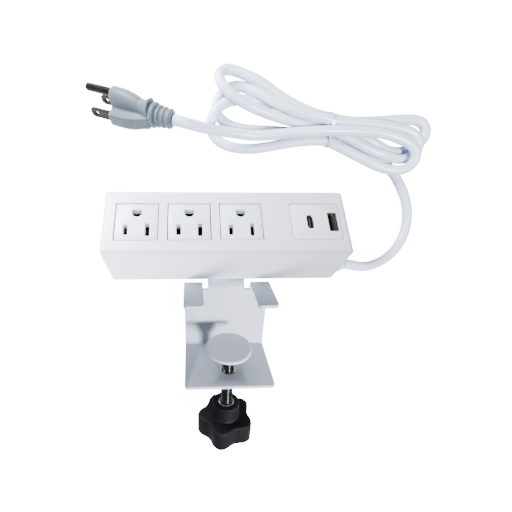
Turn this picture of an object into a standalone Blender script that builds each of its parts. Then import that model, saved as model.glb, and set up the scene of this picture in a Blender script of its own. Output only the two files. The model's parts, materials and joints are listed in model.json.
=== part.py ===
"""Desk power strip on a screw clamp, lying on its back with its cord tied in a hank.

Units are metres. Z is up, X runs along the housing and Y across it, away from the clamp's
knob. The origin is on the resting surface, below the middle of the strip and its clamp.

Two sets of axes carry the design. The clamp axes have X across the bracket, Y away from the
clamp's mouth and Z up the screw. The face axes sit on the housing's front edge, with X along
the housing, Y up the outlet face and Z out of it.
"""

import math

import bmesh
import bpy
from mathutils import Matrix, Vector

MM = 0.001
GAP = 0.3 * MM
FLAT_ANGLE = math.radians(0.5)

# Housing
HOUSING_LENGTH = 147.4 * MM
FACE_HEIGHT = 44.3 * MM
HOUSING_DEPTH = 36.5 * MM
EDGE_RADIUS = 2.5 * MM
COVER_WALL = 2.6 * MM
REAR_WALL = 3.0 * MM
FACE_TILT = math.radians(39.5)
COVER_SCREWS = [(x * MM, v * MM) for x in (-38.0, 30.0) for v in (5.3, 38.4)]
SCREW_POST = 2.2 * MM
SCREW_BORE = 1.45 * MM
SCREW_RECESS = 1.6 * MM
BRACKET_SCREWS = [13.0 * MM, 26.0 * MM]
BOLT_BORE = 2.3 * MM

# Outlets and USB panel, on the outlet face
PANEL_BOTTOM = 8.5 * MM
PANEL_HEIGHT = 26.2 * MM
OUTLET_WIDTH = 26.0 * MM
OUTLET_CENTRES = [-53.5 * MM, -22.5 * MM, 8.5 * MM]
SLOT_SPACING = 12.7 * MM
SLOT_LEVEL = PANEL_BOTTOM + 7.6 * MM
SLOT_WIDTH = 2.2 * MM
LINE_SLOT_HEIGHT = 7.0 * MM
NEUTRAL_SLOT_HEIGHT = 8.6 * MM
GROUND_LEVEL = SLOT_LEVEL + 11.9 * MM
GROUND_HOLE = 5.2 * MM
INSERT_FRONT = -0.35 * MM
INSERT_BACK = -4.6 * MM
BASE_BACK = -19.2 * MM
BAR_BACK = -18.6 * MM
BAR_THICKNESS = 1.0 * MM
BUS_TAIL = 17.0 * MM
LEAF_FRONT = -6.2 * MM
BASE_HALF = 12.2 * MM
WELL_GAP = 0.5 * MM
USB_LEFT = 38.3 * MM
USB_WIDTH = 31.0 * MM
USB_CORNER = 2.5 * MM
USB_LEVEL = 21.5 * MM
USB_C_CENTRE = 50.3 * MM
USB_C_SIZE = (8.94 * MM, 3.26 * MM)
USB_A_CENTRE = 64.3 * MM
USB_A_SIZE = (13.1 * MM, 5.7 * MM)
USB_SHELL_WALL = 0.35 * MM
USB_SHELL_BACK = -12.2 * MM

# Clamp
SHEET = 2.0 * MM
BRACKET_WIDTH = 56.0 * MM
BRACKET_OFFSET = 1.5 * MM
PRONG_WIDTH = 12.0 * MM
NOTCH_WIDTH = 3.8 * MM
PRONG_TOP = 50.0 * MM
PRONG_REACH = 32.5 * MM
PLATE_REACH = 44.5 * MM
BEND_RADIUS = 1.5 * MM
NOTCH_LEVEL = 44.2 * MM
TONGUE_LENGTH = 31.0 * MM
SETBACK = 3.5 * MM
SCREW_Y = -28.5 * MM
SCREW_RADIUS = 4.0 * MM
NUT_HOLE = 5.5 * MM
PAD_TOP = 18.2 * MM
PAD_RADIUS = 14.4 * MM
PAD_LEAN = math.radians(4.5)
PAD_THICKNESS = 2.0 * MM
KNOB_TOP = -39.5 * MM
KNOB_BOTTOM = -55.5 * MM
KNOB_RADIUS = 19.7 * MM
KNOB_HUB = 9.2 * MM
KNOB_HUB_TOP = -28.1 * MM
INSERT_RADIUS = 5.4 * MM
KNOB_LOBES = 5
KNOB_WAVE = 2.1 * MM
KNOB_TURN = math.radians(-106.0)
KNOB_EDGE = 1.5 * MM

# Cord and plug
CORD_RADIUS = 3.3 * MM
CENTRE_Y = -17.91 * MM
EXIT_V = 7.4 * MM
EXIT_Z = -28.6 * MM
GLAND_END = 79.0 * MM
GLAND_TAIL = 3.0 * MM
HANK_BOTTOM = 1.6 * MM
HANK_TOP = 18.0 * MM
TIE_X = 73.0 * MM
TIE_WIDTH = 4.0 * MM
PLUG_FACE = Vector((-67.9, 139.4, 11.0)) * MM
PLUG_YAW = math.radians(18.5)
PLUG_DIP = math.radians(18.0)
PLUG_ROLL = math.radians(61.0)
PLUG_HALF_WIDTH = 11.6 * MM
PLUG_LENGTH = 25.5 * MM
RELIEF_LENGTH = 15.0 * MM
PLUG_COLLAR = 9.6 * MM
BLADE_THICKNESS = 1.5 * MM
BLADE_WIDTH = 6.2 * MM
BLADE_LENGTH = 16.3 * MM
BLADE_ROOT = 7.0 * MM
BLADE_HOLE = 2.0 * MM
PIN_RADIUS = 2.35 * MM
PIN_LENGTH = 19.5 * MM
PLUG_AXIS_RISE = 3.0 * MM

# Route of the cord from the gland to the hank, and from the hank to the plug
ROUTE_TO_HANK = [
    (92, 37, 18.7), (100.5, 36.5, 13.3), (109.5, 38, 8.3), (119, 41.5, 5), (127, 48, 3.7),
    (132, 56.5, 3.6), (135, 65.5, 3.6), (135, 74.5, 3.6), (133.5, 83.5, 3.6), (130, 92, 3.6),
]
HANK_ENTRY = (126, 98.3, 3.6)
HANK_EXIT = (-13.5, 127.8, 12.8)
HANK_BEFORE_EXIT = (-17, 128.4, 13.6)


# ---------------------------------------------------------------- helpers

def clear_scene():
    for item in list(bpy.data.objects):
        bpy.data.objects.remove(item, do_unlink=True)


def collection(name):
    found = bpy.data.collections.new(name)
    bpy.context.scene.collection.children.link(found)
    return found


def material(name, colour, roughness, metallic=0.0):
    made = bpy.data.materials.new(name)
    made.use_nodes = True
    shader = made.node_tree.nodes["Principled BSDF"]
    shader.inputs["Base Color"].default_value = (*colour, 1.0)
    shader.inputs["Roughness"].default_value = roughness
    shader.inputs["Metallic"].default_value = metallic
    return made


def add(name, mesh, look, parent=None, smooth=30.0):
    item = bpy.data.objects.new(name, mesh)
    PARTS.objects.link(item)
    item.parent = parent
    if look is not None:
        mesh.materials.append(look)
    mesh.shade_smooth()
    mesh.set_sharp_from_angle(angle=math.radians(smooth))
    return item


def cutter(name, mesh, parent=None):
    item = bpy.data.objects.new(name, mesh)
    CUTTERS.objects.link(item)
    item.parent = parent
    item.hide_render = True
    item.display_type = 'WIRE'
    return item


def empty(name, parent=None, location=(0, 0, 0), rotation=(0, 0, 0)):
    item = bpy.data.objects.new(name, None)
    PARTS.objects.link(item)
    item.parent = parent
    item.location = location
    item.rotation_euler = rotation
    return item


def mesh_from(name, build):
    bm = bmesh.new()
    build(bm)
    made = bpy.data.meshes.new(name)
    bm.to_mesh(made)
    bm.free()
    return made


def box_mesh(name, *boxes):
    """One mesh of separate boxes, each (x0, x1, y0, y1, z0, z1)."""
    def build(bm):
        for x0, x1, y0, y1, z0, z1 in boxes:
            size = Matrix.Diagonal((x1 - x0, y1 - y0, z1 - z0, 1))
            place = Matrix.Translation(((x0 + x1) / 2, (y0 + y1) / 2, (z0 + z1) / 2))
            bmesh.ops.create_cube(bm, size=1.0, matrix=place @ size)
    return mesh_from(name, build)


def rod_mesh(name, rods, sides=20):
    """One mesh of separate upright cylinders, each (x, y, radius, z0, z1)."""
    def build(bm):
        for x, y, radius, z0, z1 in rods:
            place = Matrix.Translation((x, y, (z0 + z1) / 2))
            bmesh.ops.create_cone(bm, cap_ends=True, segments=sides, radius1=radius,
                                  radius2=radius, depth=z1 - z0, matrix=place)
    return mesh_from(name, build)


def along_x(x, y, z):
    """Turns a shape made along Z so that it runs along +X from a point."""
    return Matrix.Translation((x, y, z)) @ Matrix.Rotation(math.pi / 2, 4, 'Y')


def outline_mesh(name, loops, z0, z1):
    """A flat outline, with any holes as further loops, extruded from z0 to z1."""
    curve = bpy.data.curves.new(name, 'CURVE')
    curve.dimensions = '2D'
    curve.fill_mode = 'BOTH'
    curve.extrude = (z1 - z0) / 2
    for loop in loops:
        spline = curve.splines.new('POLY')
        spline.points.add(len(loop) - 1)
        for point, (x, y) in zip(spline.points, loop):
            point.co = (x, y, 0, 1)
        spline.use_cyclic_u = True
    made = solid_from_curve(name, curve)
    made.transform(Matrix.Translation((0, 0, (z0 + z1) / 2)))
    return made


def solid_from_curve(name, curve):
    holder = bpy.data.objects.new(name + "_curve", curve)
    bpy.context.scene.collection.objects.link(holder)
    bpy.context.view_layer.update()
    evaluated = holder.evaluated_get(bpy.context.evaluated_depsgraph_get())
    made = bpy.data.meshes.new_from_object(evaluated)
    bpy.data.objects.remove(holder, do_unlink=True)
    bpy.data.curves.remove(curve)
    made.name = name
    bm = bmesh.new()
    bm.from_mesh(made)
    bmesh.ops.remove_doubles(bm, verts=bm.verts, dist=1e-6)
    bmesh.ops.recalc_face_normals(bm, faces=bm.faces)
    bmesh.ops.dissolve_limit(bm, angle_limit=FLAT_ANGLE, verts=bm.verts, edges=bm.edges)
    bm.to_mesh(made)
    bm.free()
    made.materials.clear()
    return made


def rounded_rectangle(x0, x1, y0, y1, radius, steps=4):
    points = []
    corners = [(x1 - radius, y1 - radius), (x0 + radius, y1 - radius),
               (x0 + radius, y0 + radius), (x1 - radius, y0 + radius)]
    for quarter, (cx, cy) in enumerate(corners):
        for step in range(steps + 1):
            angle = math.pi / 2 * (quarter + step / steps)
            points.append((cx + radius * math.cos(angle), cy + radius * math.sin(angle)))
    return points


def smooth_path(points, spacing):
    """Points at even spacing on a Catmull-Rom curve through the given points."""
    knots = [2 * points[0] - points[1], *points, 2 * points[-1] - points[-2]]
    fine = []
    for a, b, c, d in zip(knots, knots[1:], knots[2:], knots[3:]):
        for step in range(20):
            t = step / 20
            fine.append(0.5 * (2 * b + (c - a) * t + (2 * a - 5 * b + 4 * c - d) * t * t
                               + (3 * b - a - 3 * c + d) * t ** 3))
    fine.append(points[-1])
    lengths = [0.0]
    for a, b in zip(fine, fine[1:]):
        lengths.append(lengths[-1] + (b - a).length)
    count = max(2, round(lengths[-1] / spacing))
    even = []
    for index in range(count + 1):
        target = lengths[-1] * index / count
        upper = next(i for i, value in enumerate(lengths) if value >= target - 1e-12)
        if upper == 0:
            even.append(fine[0])
            continue
        share = (target - lengths[upper - 1]) / (lengths[upper] - lengths[upper - 1])
        even.append(fine[upper - 1].lerp(fine[upper], share))
    return even


def tube(name, points, radius, look, parent=None, sides=2):
    curve = bpy.data.curves.new(name, 'CURVE')
    curve.dimensions = '3D'
    curve.bevel_depth = radius
    curve.bevel_resolution = sides
    curve.use_fill_caps = True
    spline = curve.splines.new('POLY')
    spline.points.add(len(points) - 1)
    for point, place in zip(spline.points, points):
        point.co = (*place, 1)
    return add(name, solid_from_curve(name, curve), look, parent)


def turned(name, profile, look, parent=None, steps=32, closed=False):
    """A profile of (radius, height), listed from top to bottom, turned about Z."""
    def build(bm):
        corners = [bm.verts.new((radius, 0, height)) for radius, height in profile]
        for a, b in zip(corners, corners[1:]):
            bm.edges.new((a, b))
        if closed:
            bm.edges.new((corners[-1], corners[0]))
    item = add(name, mesh_from(name, build), look, parent)
    screw = item.modifiers.new("turn", 'SCREW')
    screw.axis = 'Z'
    screw.steps = steps
    screw.render_steps = steps
    screw.use_merge_vertices = True
    screw.merge_threshold = 1e-6
    screw.use_smooth_shade = True
    return item


def boolean(item, tool, operation='DIFFERENCE'):
    step = item.modifiers.new(operation.lower(), 'BOOLEAN')
    step.operation = operation
    step.object = tool
    return item


def bevel(item, width, segments=2, angle=30.0):
    step = item.modifiers.new("edges", 'BEVEL')
    step.width = width
    step.segments = segments
    step.limit_method = 'ANGLE'
    step.angle_limit = math.radians(angle)
    return item


def loft(name, rings, look, parent=None):
    """A closed body through rings of equally many points, capped at both ends."""
    def build(bm):
        rows = [[bm.verts.new(point) for point in ring] for ring in rings]
        for low, high in zip(rows, rows[1:]):
            for i in range(len(low)):
                j = (i + 1) % len(low)
                bm.faces.new((low[i], low[j], high[j], high[i]))
        bm.faces.new(list(reversed(rows[0])))
        bm.faces.new(rows[-1])
        bmesh.ops.recalc_face_normals(bm, faces=bm.faces)
    return add(name, mesh_from(name, build), look, parent)


# ---------------------------------------------------------------- placing

def star_outline(radius, wave, count=60):
    points = []
    for index in range(count):
        angle = 2 * math.pi * index / count
        reach = radius - wave * (1 - math.cos(KNOB_LOBES * (angle - KNOB_TURN)))
        points.append((reach * math.cos(angle), reach * math.sin(angle)))
    return points


def face_origin():
    """The housing's front edge in clamp axes: its lowest edge sits just above the prongs."""
    sine, cosine = math.sin(FACE_TILT), math.cos(FACE_TILT)
    rear_z = PRONG_TOP + GAP + EDGE_RADIUS * (1 - sine - cosine)
    return Vector((-BRACKET_OFFSET, SETBACK - HOUSING_DEPTH * sine, rear_z + HOUSING_DEPTH * cosine))


def resting_pose():
    """Lean and height of the clamp axes when the rear edge and the knob touch the surface."""
    sine, cosine = math.sin(FACE_TILT), math.cos(FACE_TILT)
    edge = face_origin() + Vector((0, FACE_HEIGHT * cosine + HOUSING_DEPTH * sine,
                                   FACE_HEIGHT * sine - HOUSING_DEPTH * cosine))
    edge -= EDGE_RADIUS * Vector((0, cosine + sine, sine - cosine))
    lobe = max(y for x, y in star_outline(KNOB_RADIUS, KNOB_WAVE))
    foot = Vector((0, SCREW_Y + lobe - KNOB_EDGE, KNOB_BOTTOM + KNOB_EDGE))
    across = edge - foot
    lean = math.atan2(across.y, across.z) + math.asin((EDGE_RADIUS - KNOB_EDGE) / across.length)
    height = edge.y * math.cos(lean) - edge.z * math.sin(lean) + EDGE_RADIUS
    return lean, height


# ---------------------------------------------------------------- housing

def housing_block():
    half = HOUSING_LENGTH / 2
    return box_mesh("housing_block", (-half, half, 0, FACE_HEIGHT, -HOUSING_DEPTH, 0))


def d_hole(centre):
    """Ground hole: flat at the top, round at the bottom."""
    half = GROUND_HOLE / 2
    points = [(centre + half, GROUND_LEVEL + half * 0.85), (centre - half, GROUND_LEVEL + half * 0.85)]
    for step in range(9):
        angle = math.pi + math.pi * step / 8
        points.append((centre + half * math.cos(angle), GROUND_LEVEL + half * math.sin(angle)))
    return points


def build_front_cover(face):
    half = HOUSING_LENGTH / 2 - COVER_WALL
    cover = add("front_cover", housing_block(), WHITE, face)
    bevel(cover, EDGE_RADIUS, 3)
    far = 60 * MM
    boolean(cover, cutter("cover_hollow", box_mesh(
        "cover_hollow", (-half, half, COVER_WALL, far, -far, -COVER_WALL)), face))
    posts = [(x, v, SCREW_POST, -HOUSING_DEPTH + REAR_WALL + GAP, -COVER_WALL / 2)
             for x, v in COVER_SCREWS]
    boolean(cover, cutter("cover_posts", rod_mesh("cover_posts", posts, 12), face), 'UNION')
    holes = [(x, v, SCREW_BORE, -far, -20 * MM) for x, v in COVER_SCREWS]
    boolean(cover, cutter("post_bores", rod_mesh("post_bores", holes, 12), face))
    top = PANEL_BOTTOM + PANEL_HEIGHT
    windows = [(c - OUTLET_WIDTH / 2, c + OUTLET_WIDTH / 2, PANEL_BOTTOM, top, -5 * MM, MM)
               for c in OUTLET_CENTRES]
    boolean(cover, cutter("outlet_windows", box_mesh("outlet_windows", *windows), face))
    window = rounded_rectangle(USB_LEFT, USB_LEFT + USB_WIDTH, PANEL_BOTTOM, top, USB_CORNER)
    boolean(cover, cutter("usb_window", outline_mesh("usb_window", [window], -5 * MM, MM), face))
    hole = rod_mesh("gland_hole", [(0, 0, CORD_RADIUS + 0.8 * MM, -10 * MM, 10 * MM)], 20)
    hole.transform(along_x(HOUSING_LENGTH / 2, EXIT_V, EXIT_Z))
    boolean(cover, cutter("gland_hole", hole, face))


def build_rear_cover(face):
    half = HOUSING_LENGTH / 2 - COVER_WALL - GAP
    inset = COVER_WALL + GAP
    far = 60 * MM
    cover = add("rear_cover", housing_block(), WHITE, face)
    bevel(cover, EDGE_RADIUS, 3)
    boolean(cover, cutter("rear_part", box_mesh(
        "rear_part", (-half, half, inset, far, -far, -inset)), face), 'INTERSECT')
    boolean(cover, cutter("rear_hollow", box_mesh("rear_hollow", (
        -far * 2, far * 2, -far, FACE_HEIGHT - COVER_WALL - GAP, -HOUSING_DEPTH + REAR_WALL, far)), face))
    screws = [(x, v, SCREW_BORE, -far, -30 * MM) for x, v in COVER_SCREWS]
    recesses = [(x, v, 2.9 * MM, -far, -HOUSING_DEPTH + SCREW_RECESS) for x, v in COVER_SCREWS]
    bolts = [(BRACKET_OFFSET, v, BOLT_BORE, -far, -30 * MM) for v in BRACKET_SCREWS]
    boolean(cover, cutter("cover_screw_holes", rod_mesh("cover_screw_holes", screws, 12), face))
    boolean(cover, cutter("cover_screw_recesses", rod_mesh("cover_screw_recesses", recesses, 16), face))
    boolean(cover, cutter("bracket_bolt_holes", rod_mesh("bracket_bolt_holes", bolts, 16), face))


def pan_screw(name, x, y, z, radius, length, head_radius, head_height, face, look):
    """A screw pointing up +Z with its head at the bottom."""
    profile = [(0, length), (radius * 0.55, length), (radius, length - radius),
               (radius, 0), (head_radius, 0), (head_radius, -head_height * 0.6),
               (head_radius * 0.8, -head_height), (0, -head_height)]
    item = turned(name, profile, look, face, 16)
    item.location = (x, y, z)
    return item


def build_housing_screws(face):
    for index, (x, v) in enumerate(COVER_SCREWS, 1):
        seat = -HOUSING_DEPTH + SCREW_RECESS - GAP
        pan_screw(f"cover_screw_{index}", x, v, seat, 1.15 * MM, 12 * MM, 2.5 * MM, 1.2 * MM, face, STEEL)
    seat = -HOUSING_DEPTH - GAP - SHEET - GAP
    for index, v in enumerate(BRACKET_SCREWS, 1):
        pan_screw(f"bracket_screw_{index}", BRACKET_OFFSET, v, seat, 1.9 * MM, 9.5 * MM,
                  3.6 * MM, 2.2 * MM, face, STEEL)
    low, high = BRACKET_SCREWS
    bottom = -HOUSING_DEPTH + REAR_WALL + GAP
    plate = add("nut_plate", box_mesh("nut_plate", (
        BRACKET_OFFSET - 6 * MM, BRACKET_OFFSET + 6 * MM, low - 6 * MM, high + 6 * MM,
        bottom, bottom + 2.5 * MM)), STEEL, face)
    bores = [(BRACKET_OFFSET, v, BOLT_BORE, -60 * MM, -20 * MM) for v in (low, high)]
    boolean(plate, cutter("nut_plate_bores", rod_mesh("nut_plate_bores", bores, 16), face))


def build_outlets(face):
    flange = -COVER_WALL - GAP
    low = PANEL_BOTTOM + GAP
    high = PANEL_BOTTOM + PANEL_HEIGHT - GAP
    for index, centre in enumerate(OUTLET_CENTRES, 1):
        half = OUTLET_WIDTH / 2 - GAP
        insert = add(f"outlet_face_{index}", box_mesh("insert", (
            centre - half, centre + half, low, high, INSERT_BACK, INSERT_FRONT)), WHITE, face)
        boolean(insert, cutter(f"insert_flange_{index}", box_mesh("insert_flange", (
            centre - half + MM, centre + half - MM, low - 2 * MM, high + 2 * MM,
            INSERT_BACK, flange)), face), 'UNION')
        slots = []
        for side, height in ((-1, LINE_SLOT_HEIGHT), (1, NEUTRAL_SLOT_HEIGHT)):
            x = centre + side * SLOT_SPACING / 2
            slots.append((x - SLOT_WIDTH / 2, x + SLOT_WIDTH / 2, SLOT_LEVEL - height / 2,
                          SLOT_LEVEL + height / 2, -8 * MM, MM))
        boolean(insert, cutter(f"slots_{index}", box_mesh("slots", *slots), face))
        boolean(insert, cutter(f"ground_hole_{index}", outline_mesh(
            "ground_hole", [d_hole(centre)], -8 * MM, MM), face))
        build_outlet_base(face, index, centre)


def bus_levels():
    """For each bus bar: its strip's and its leaves' range up the face, and the leaves' offset."""
    return {
        "line": ((9.6 * MM, 12.6 * MM), (12.3 * MM, 18.7 * MM), -SLOT_SPACING / 2),
        "neutral": ((20.2 * MM, 22.8 * MM), (13.6 * MM, 21.3 * MM), SLOT_SPACING / 2),
        "ground": ((31.6 * MM, 34.4 * MM), (26.6 * MM, 32.3 * MM), 0.0),
    }


def leaf_offsets(bus):
    """Inner and outer distance of a contact leaf from its blade's middle plane."""
    if bus == "ground":
        return 2.6 * MM, 3.3 * MM
    return 1.2 * MM, 1.9 * MM


def build_outlet_base(face, index, centre):
    low, high = PANEL_BOTTOM - 1.1 * MM, PANEL_BOTTOM + PANEL_HEIGHT + 1.1 * MM
    base = add(f"outlet_base_{index}", box_mesh("base", (
        centre - BASE_HALF, centre + BASE_HALF, low, high, BASE_BACK, INSERT_BACK - GAP)), BLACK, face)
    channels, wells = [], []
    for bus, (strip, leaf, offset) in bus_levels().items():
        reach = leaf_offsets(bus)[1] + WELL_GAP
        x = centre + offset
        channels.append((centre - 20 * MM, centre + 20 * MM, strip[0] - WELL_GAP, strip[1] + WELL_GAP,
                         -30 * MM, BAR_BACK + BAR_THICKNESS + 0.7 * MM))
        wells.append((x - reach, x + reach, leaf[0] - WELL_GAP, leaf[1] + WELL_GAP, -30 * MM, 0))
    boolean(base, cutter(f"base_channels_{index}", box_mesh("base_channels", *channels), face))
    boolean(base, cutter(f"base_wells_{index}", box_mesh("base_wells", *wells), face))


def build_bus_bars(face):
    left, right = OUTLET_CENTRES[0] - 9.5 * MM, OUTLET_CENTRES[-1] + BUS_TAIL
    for bus, (strip, leaf, offset) in bus_levels().items():
        bar = add(f"{bus}_bus_bar", box_mesh("strip", (
            left, right, *strip, BAR_BACK, BAR_BACK + BAR_THICKNESS)), BRASS, face)
        inner, outer = leaf_offsets(bus)
        leaves = []
        for centre in OUTLET_CENTRES:
            for side in (-1, 1):
                edges = sorted((centre + offset + side * inner, centre + offset + side * outer))
                leaves.append((*edges, *leaf, BAR_BACK + BAR_THICKNESS / 2, LEAF_FRONT))
        boolean(bar, cutter(f"{bus}_leaves", box_mesh("leaves", *leaves), face), 'UNION')
    add("contact_backing_plate", box_mesh("backing", (
        OUTLET_CENTRES[0] - BASE_HALF, OUTLET_CENTRES[-1] + BASE_HALF, 8.0 * MM, 35.0 * MM,
        BASE_BACK - 1.2 * MM, BASE_BACK - GAP)), TAN, face)


def slot_loop(cx, cy, width, height):
    """Upright stadium outline."""
    return rounded_rectangle(cx - width / 2, cx + width / 2, cy - height / 2, cy + height / 2,
                             width / 2 * 0.999, 6)


def build_usb(face):
    low, high = PANEL_BOTTOM + GAP, PANEL_BOTTOM + PANEL_HEIGHT - GAP
    left, right = USB_LEFT + GAP, USB_LEFT + USB_WIDTH - GAP
    plate = rounded_rectangle(left, right, low, high, USB_CORNER - GAP)
    bezel = add("usb_bezel", outline_mesh("usb_bezel", [plate], INSERT_BACK, INSERT_FRONT), WHITE, face)
    boolean(bezel, cutter("bezel_flange", box_mesh("bezel_flange", (
        left + 2 * MM, right - 2 * MM, low - 2 * MM, high + 2 * MM, INSERT_BACK,
        -COVER_WALL - GAP)), face), 'UNION')
    c_tall, c_wide = USB_C_SIZE
    a_tall, a_wide = USB_A_SIZE
    c_open = slot_loop(USB_C_CENTRE, USB_LEVEL, c_wide + 2 * GAP, c_tall + 2 * GAP)
    a_open = rounded_rectangle(
        USB_A_CENTRE - a_wide / 2 - GAP, USB_A_CENTRE + a_wide / 2 + GAP,
        USB_LEVEL - a_tall / 2 - GAP, USB_LEVEL + a_tall / 2 + GAP, 0.4 * MM, 2)
    for name, loop in (("c_opening", c_open), ("a_opening", a_open)):
        boolean(bezel, cutter(name, outline_mesh(name, [loop], -8 * MM, MM), face))
    walls = (0, USB_SHELL_WALL)
    c_loops = [slot_loop(USB_C_CENTRE, USB_LEVEL, c_wide - 2 * t, c_tall - 2 * t) for t in walls]
    add("usb_c_shell", outline_mesh("usb_c_shell", c_loops, USB_SHELL_BACK, -0.7 * MM), STEEL, face)
    a_loops = [rounded_rectangle(
        USB_A_CENTRE - a_wide / 2 + t, USB_A_CENTRE + a_wide / 2 - t,
        USB_LEVEL - a_tall / 2 + t, USB_LEVEL + a_tall / 2 - t, 0.5 * MM, 2) for t in walls]
    add("usb_a_shell", outline_mesh("usb_a_shell", a_loops, USB_SHELL_BACK, -0.7 * MM), STEEL, face)
    add("usb_c_tongue", box_mesh("usb_c_tongue", (
        USB_C_CENTRE - 0.35 * MM, USB_C_CENTRE + 0.35 * MM, USB_LEVEL - 3.35 * MM,
        USB_LEVEL + 3.35 * MM, USB_SHELL_BACK, -1.4 * MM)), BLACK, face)
    add("usb_a_tongue", box_mesh("usb_a_tongue", (
        USB_A_CENTRE + 0.1 * MM, USB_A_CENTRE + 2.0 * MM, USB_LEVEL - 5.6 * MM,
        USB_LEVEL + 5.6 * MM, USB_SHELL_BACK, -1.6 * MM)), AMBER, face)
    add("usb_circuit_board", box_mesh("usb_circuit_board", (
        40.2 * MM, 68.4 * MM, 10.4 * MM, 34 * MM, -14.1 * MM, -12.5 * MM)), GREEN, face)
    add("usb_transformer", box_mesh("usb_transformer", (
        43 * MM, 56 * MM, 18.5 * MM, 31.5 * MM, -26 * MM, -14.4 * MM)), BLACK, face)
    add("usb_capacitor_1", rod_mesh("usb_capacitor_1", [
        (62.5 * MM, 27.5 * MM, 4 * MM, -25.5 * MM, -14.4 * MM)], 20), BLACK, face)
    add("usb_capacitor_2", rod_mesh("usb_capacitor_2", [
        (62.5 * MM, 18.6 * MM, 2.5 * MM, -22 * MM, -14.4 * MM)], 16), BLACK, face)
    add("usb_controller_chip", box_mesh("usb_controller_chip", (
        50 * MM, 55 * MM, 11.4 * MM, 16.4 * MM, -15.4 * MM, -14.4 * MM)), BLACK, face)


def build_wires(face):
    start = HOUSING_LENGTH / 2 - COVER_WALL - GAP - GLAND_TAIL - GAP
    bar_end = OUTLET_CENTRES[-1] + BUS_TAIL + 2 * GAP
    z_bar = BAR_BACK + BAR_THICKNESS / 2
    runs = {
        "line_wire": ((-2.4, 1.4), 11.1, (46, 8.0, -25.5), RED),
        "neutral_wire": ((0, -2.4), 21.5, (44, 13.0, -30), CREAM),
        "ground_wire": ((2.4, 1.4), 33.0, (42, 22, -29.5), GREEN_WIRE),
    }
    for name, ((dv, dz), level, middle, look) in runs.items():
        points = [
            Vector((start, EXIT_V + dv * MM * 0.7, EXIT_Z + dz * MM * 0.7)),
            Vector((58 * MM, EXIT_V + dv * MM, EXIT_Z + dz * MM)),
            Vector(middle) * MM,
            Vector((34 * MM, level * MM, z_bar - 4 * MM)),
            Vector((bar_end + 3 * MM, level * MM, z_bar)),
            Vector((bar_end, level * MM, z_bar)),
        ]
        tube(name, smooth_path(points, 4 * MM), 1.0 * MM, look, face)


def build_gland(face):
    neck = CORD_RADIUS + 0.5 * MM
    outer = HOUSING_LENGTH / 2 + GAP
    inner = HOUSING_LENGTH / 2 - COVER_WALL - GAP
    end = GLAND_END
    collar, lip = 5.2 * MM, 4.5 * MM
    profile = [(0, end), (neck, end), (neck + 0.3 * MM, end - 0.6 * MM), (collar, outer + MM),
               (collar, outer), (neck, outer), (neck, inner), (lip, inner),
               (lip, inner - GLAND_TAIL), (0, inner - GLAND_TAIL)]
    gland = turned("cord_gland", profile, CORD_WHITE, face, 24)
    gland.matrix_local = along_x(0, EXIT_V, EXIT_Z)


# ---------------------------------------------------------------- clamp

def arc_steps(start, centre, turn, steps):
    """Offsets that walk from start along an arc about centre, in the Y-Z plane."""
    walked = []
    place = start
    for _ in range(steps):
        spoke = place - centre
        spoke.rotate(Matrix.Rotation(turn / steps, 3, 'X'))
        walked.append(centre + spoke - place)
        place = centre + spoke
    return walked, place


def extrude_row(bm, edges, offsets):
    for offset in offsets:
        grown = bmesh.ops.extrude_edge_only(bm, edges=edges)["geom"]
        corners = [item for item in grown if isinstance(item, bmesh.types.BMVert)]
        edges = [item for item in grown if isinstance(item, bmesh.types.BMEdge)]
        bmesh.ops.translate(bm, verts=corners, vec=offset)
    return edges


def build_bracket(clamp, face):
    half = BRACKET_WIDTH / 2
    inner = half - PRONG_WIDTH
    tongue = inner - NOTCH_WIDTH
    stations = [-half, -inner, -tongue, tongue, inner, half]
    steps = 4

    def build(bm):
        row = [bm.verts.new((x, -PLATE_REACH, 0)) for x in stations]
        edges = [bm.edges.new(pair) for pair in zip(row, row[1:])]
        r = BEND_RADIUS
        path = [Vector((0, PLATE_REACH - r, 0))]
        bend, place = arc_steps(Vector((0, -r, 0)), Vector((0, -r, r)), math.pi / 2, steps)
        path += bend
        path.append(Vector((0, 0, NOTCH_LEVEL - place.z)))
        top = sorted(extrude_row(bm, edges, path), key=lambda e: e.verts[0].co.x + e.verts[1].co.x)
        rise = Vector((0, 0, PRONG_TOP - SHEET - r - NOTCH_LEVEL))
        fold, place = arc_steps(Vector((0, 0, 0)), Vector((0, -r, 0)), math.pi / 2, steps)
        reach = Vector((0, -(PRONG_REACH - r), 0))
        for prong in (top[0], top[4]):
            extrude_row(bm, [prong], [rise, *fold, reach])
        outer = r + SHEET
        lean_back = math.pi / 2 - FACE_TILT
        back, place = arc_steps(Vector((0, 0, 0)), Vector((0, outer, 0)), -lean_back, steps)
        along = Vector((0, math.cos(FACE_TILT), math.sin(FACE_TILT)))
        extrude_row(bm, [top[2]], [*back, along * TONGUE_LENGTH])
        tips = [v for v in bm.verts if len(v.link_edges) == 2 and v.co.z != NOTCH_LEVEL]
        bmesh.ops.bevel(bm, geom=tips, offset=2.5 * MM, segments=4, affect='VERTICES', profile=0.5)
        bmesh.ops.recalc_face_normals(bm, faces=bm.faces)

    sheet = add("clamp_bracket", mesh_from("clamp_bracket", build), BRACKET_WHITE, clamp)
    solid = sheet.modifiers.new("sheet", 'SOLIDIFY')
    solid.thickness = SHEET
    solid.offset = -1.0
    hole = [(0, SCREW_Y, NUT_HOLE, -10 * MM, 10 * MM)]
    boolean(sheet, cutter("nut_hole", rod_mesh("nut_hole", hole, 24), clamp))
    bolts = [(BRACKET_OFFSET, v, BOLT_BORE, -60 * MM, -30 * MM) for v in BRACKET_SCREWS]
    boolean(sheet, cutter("tongue_holes", rod_mesh("tongue_holes", bolts, 16), face))


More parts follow.
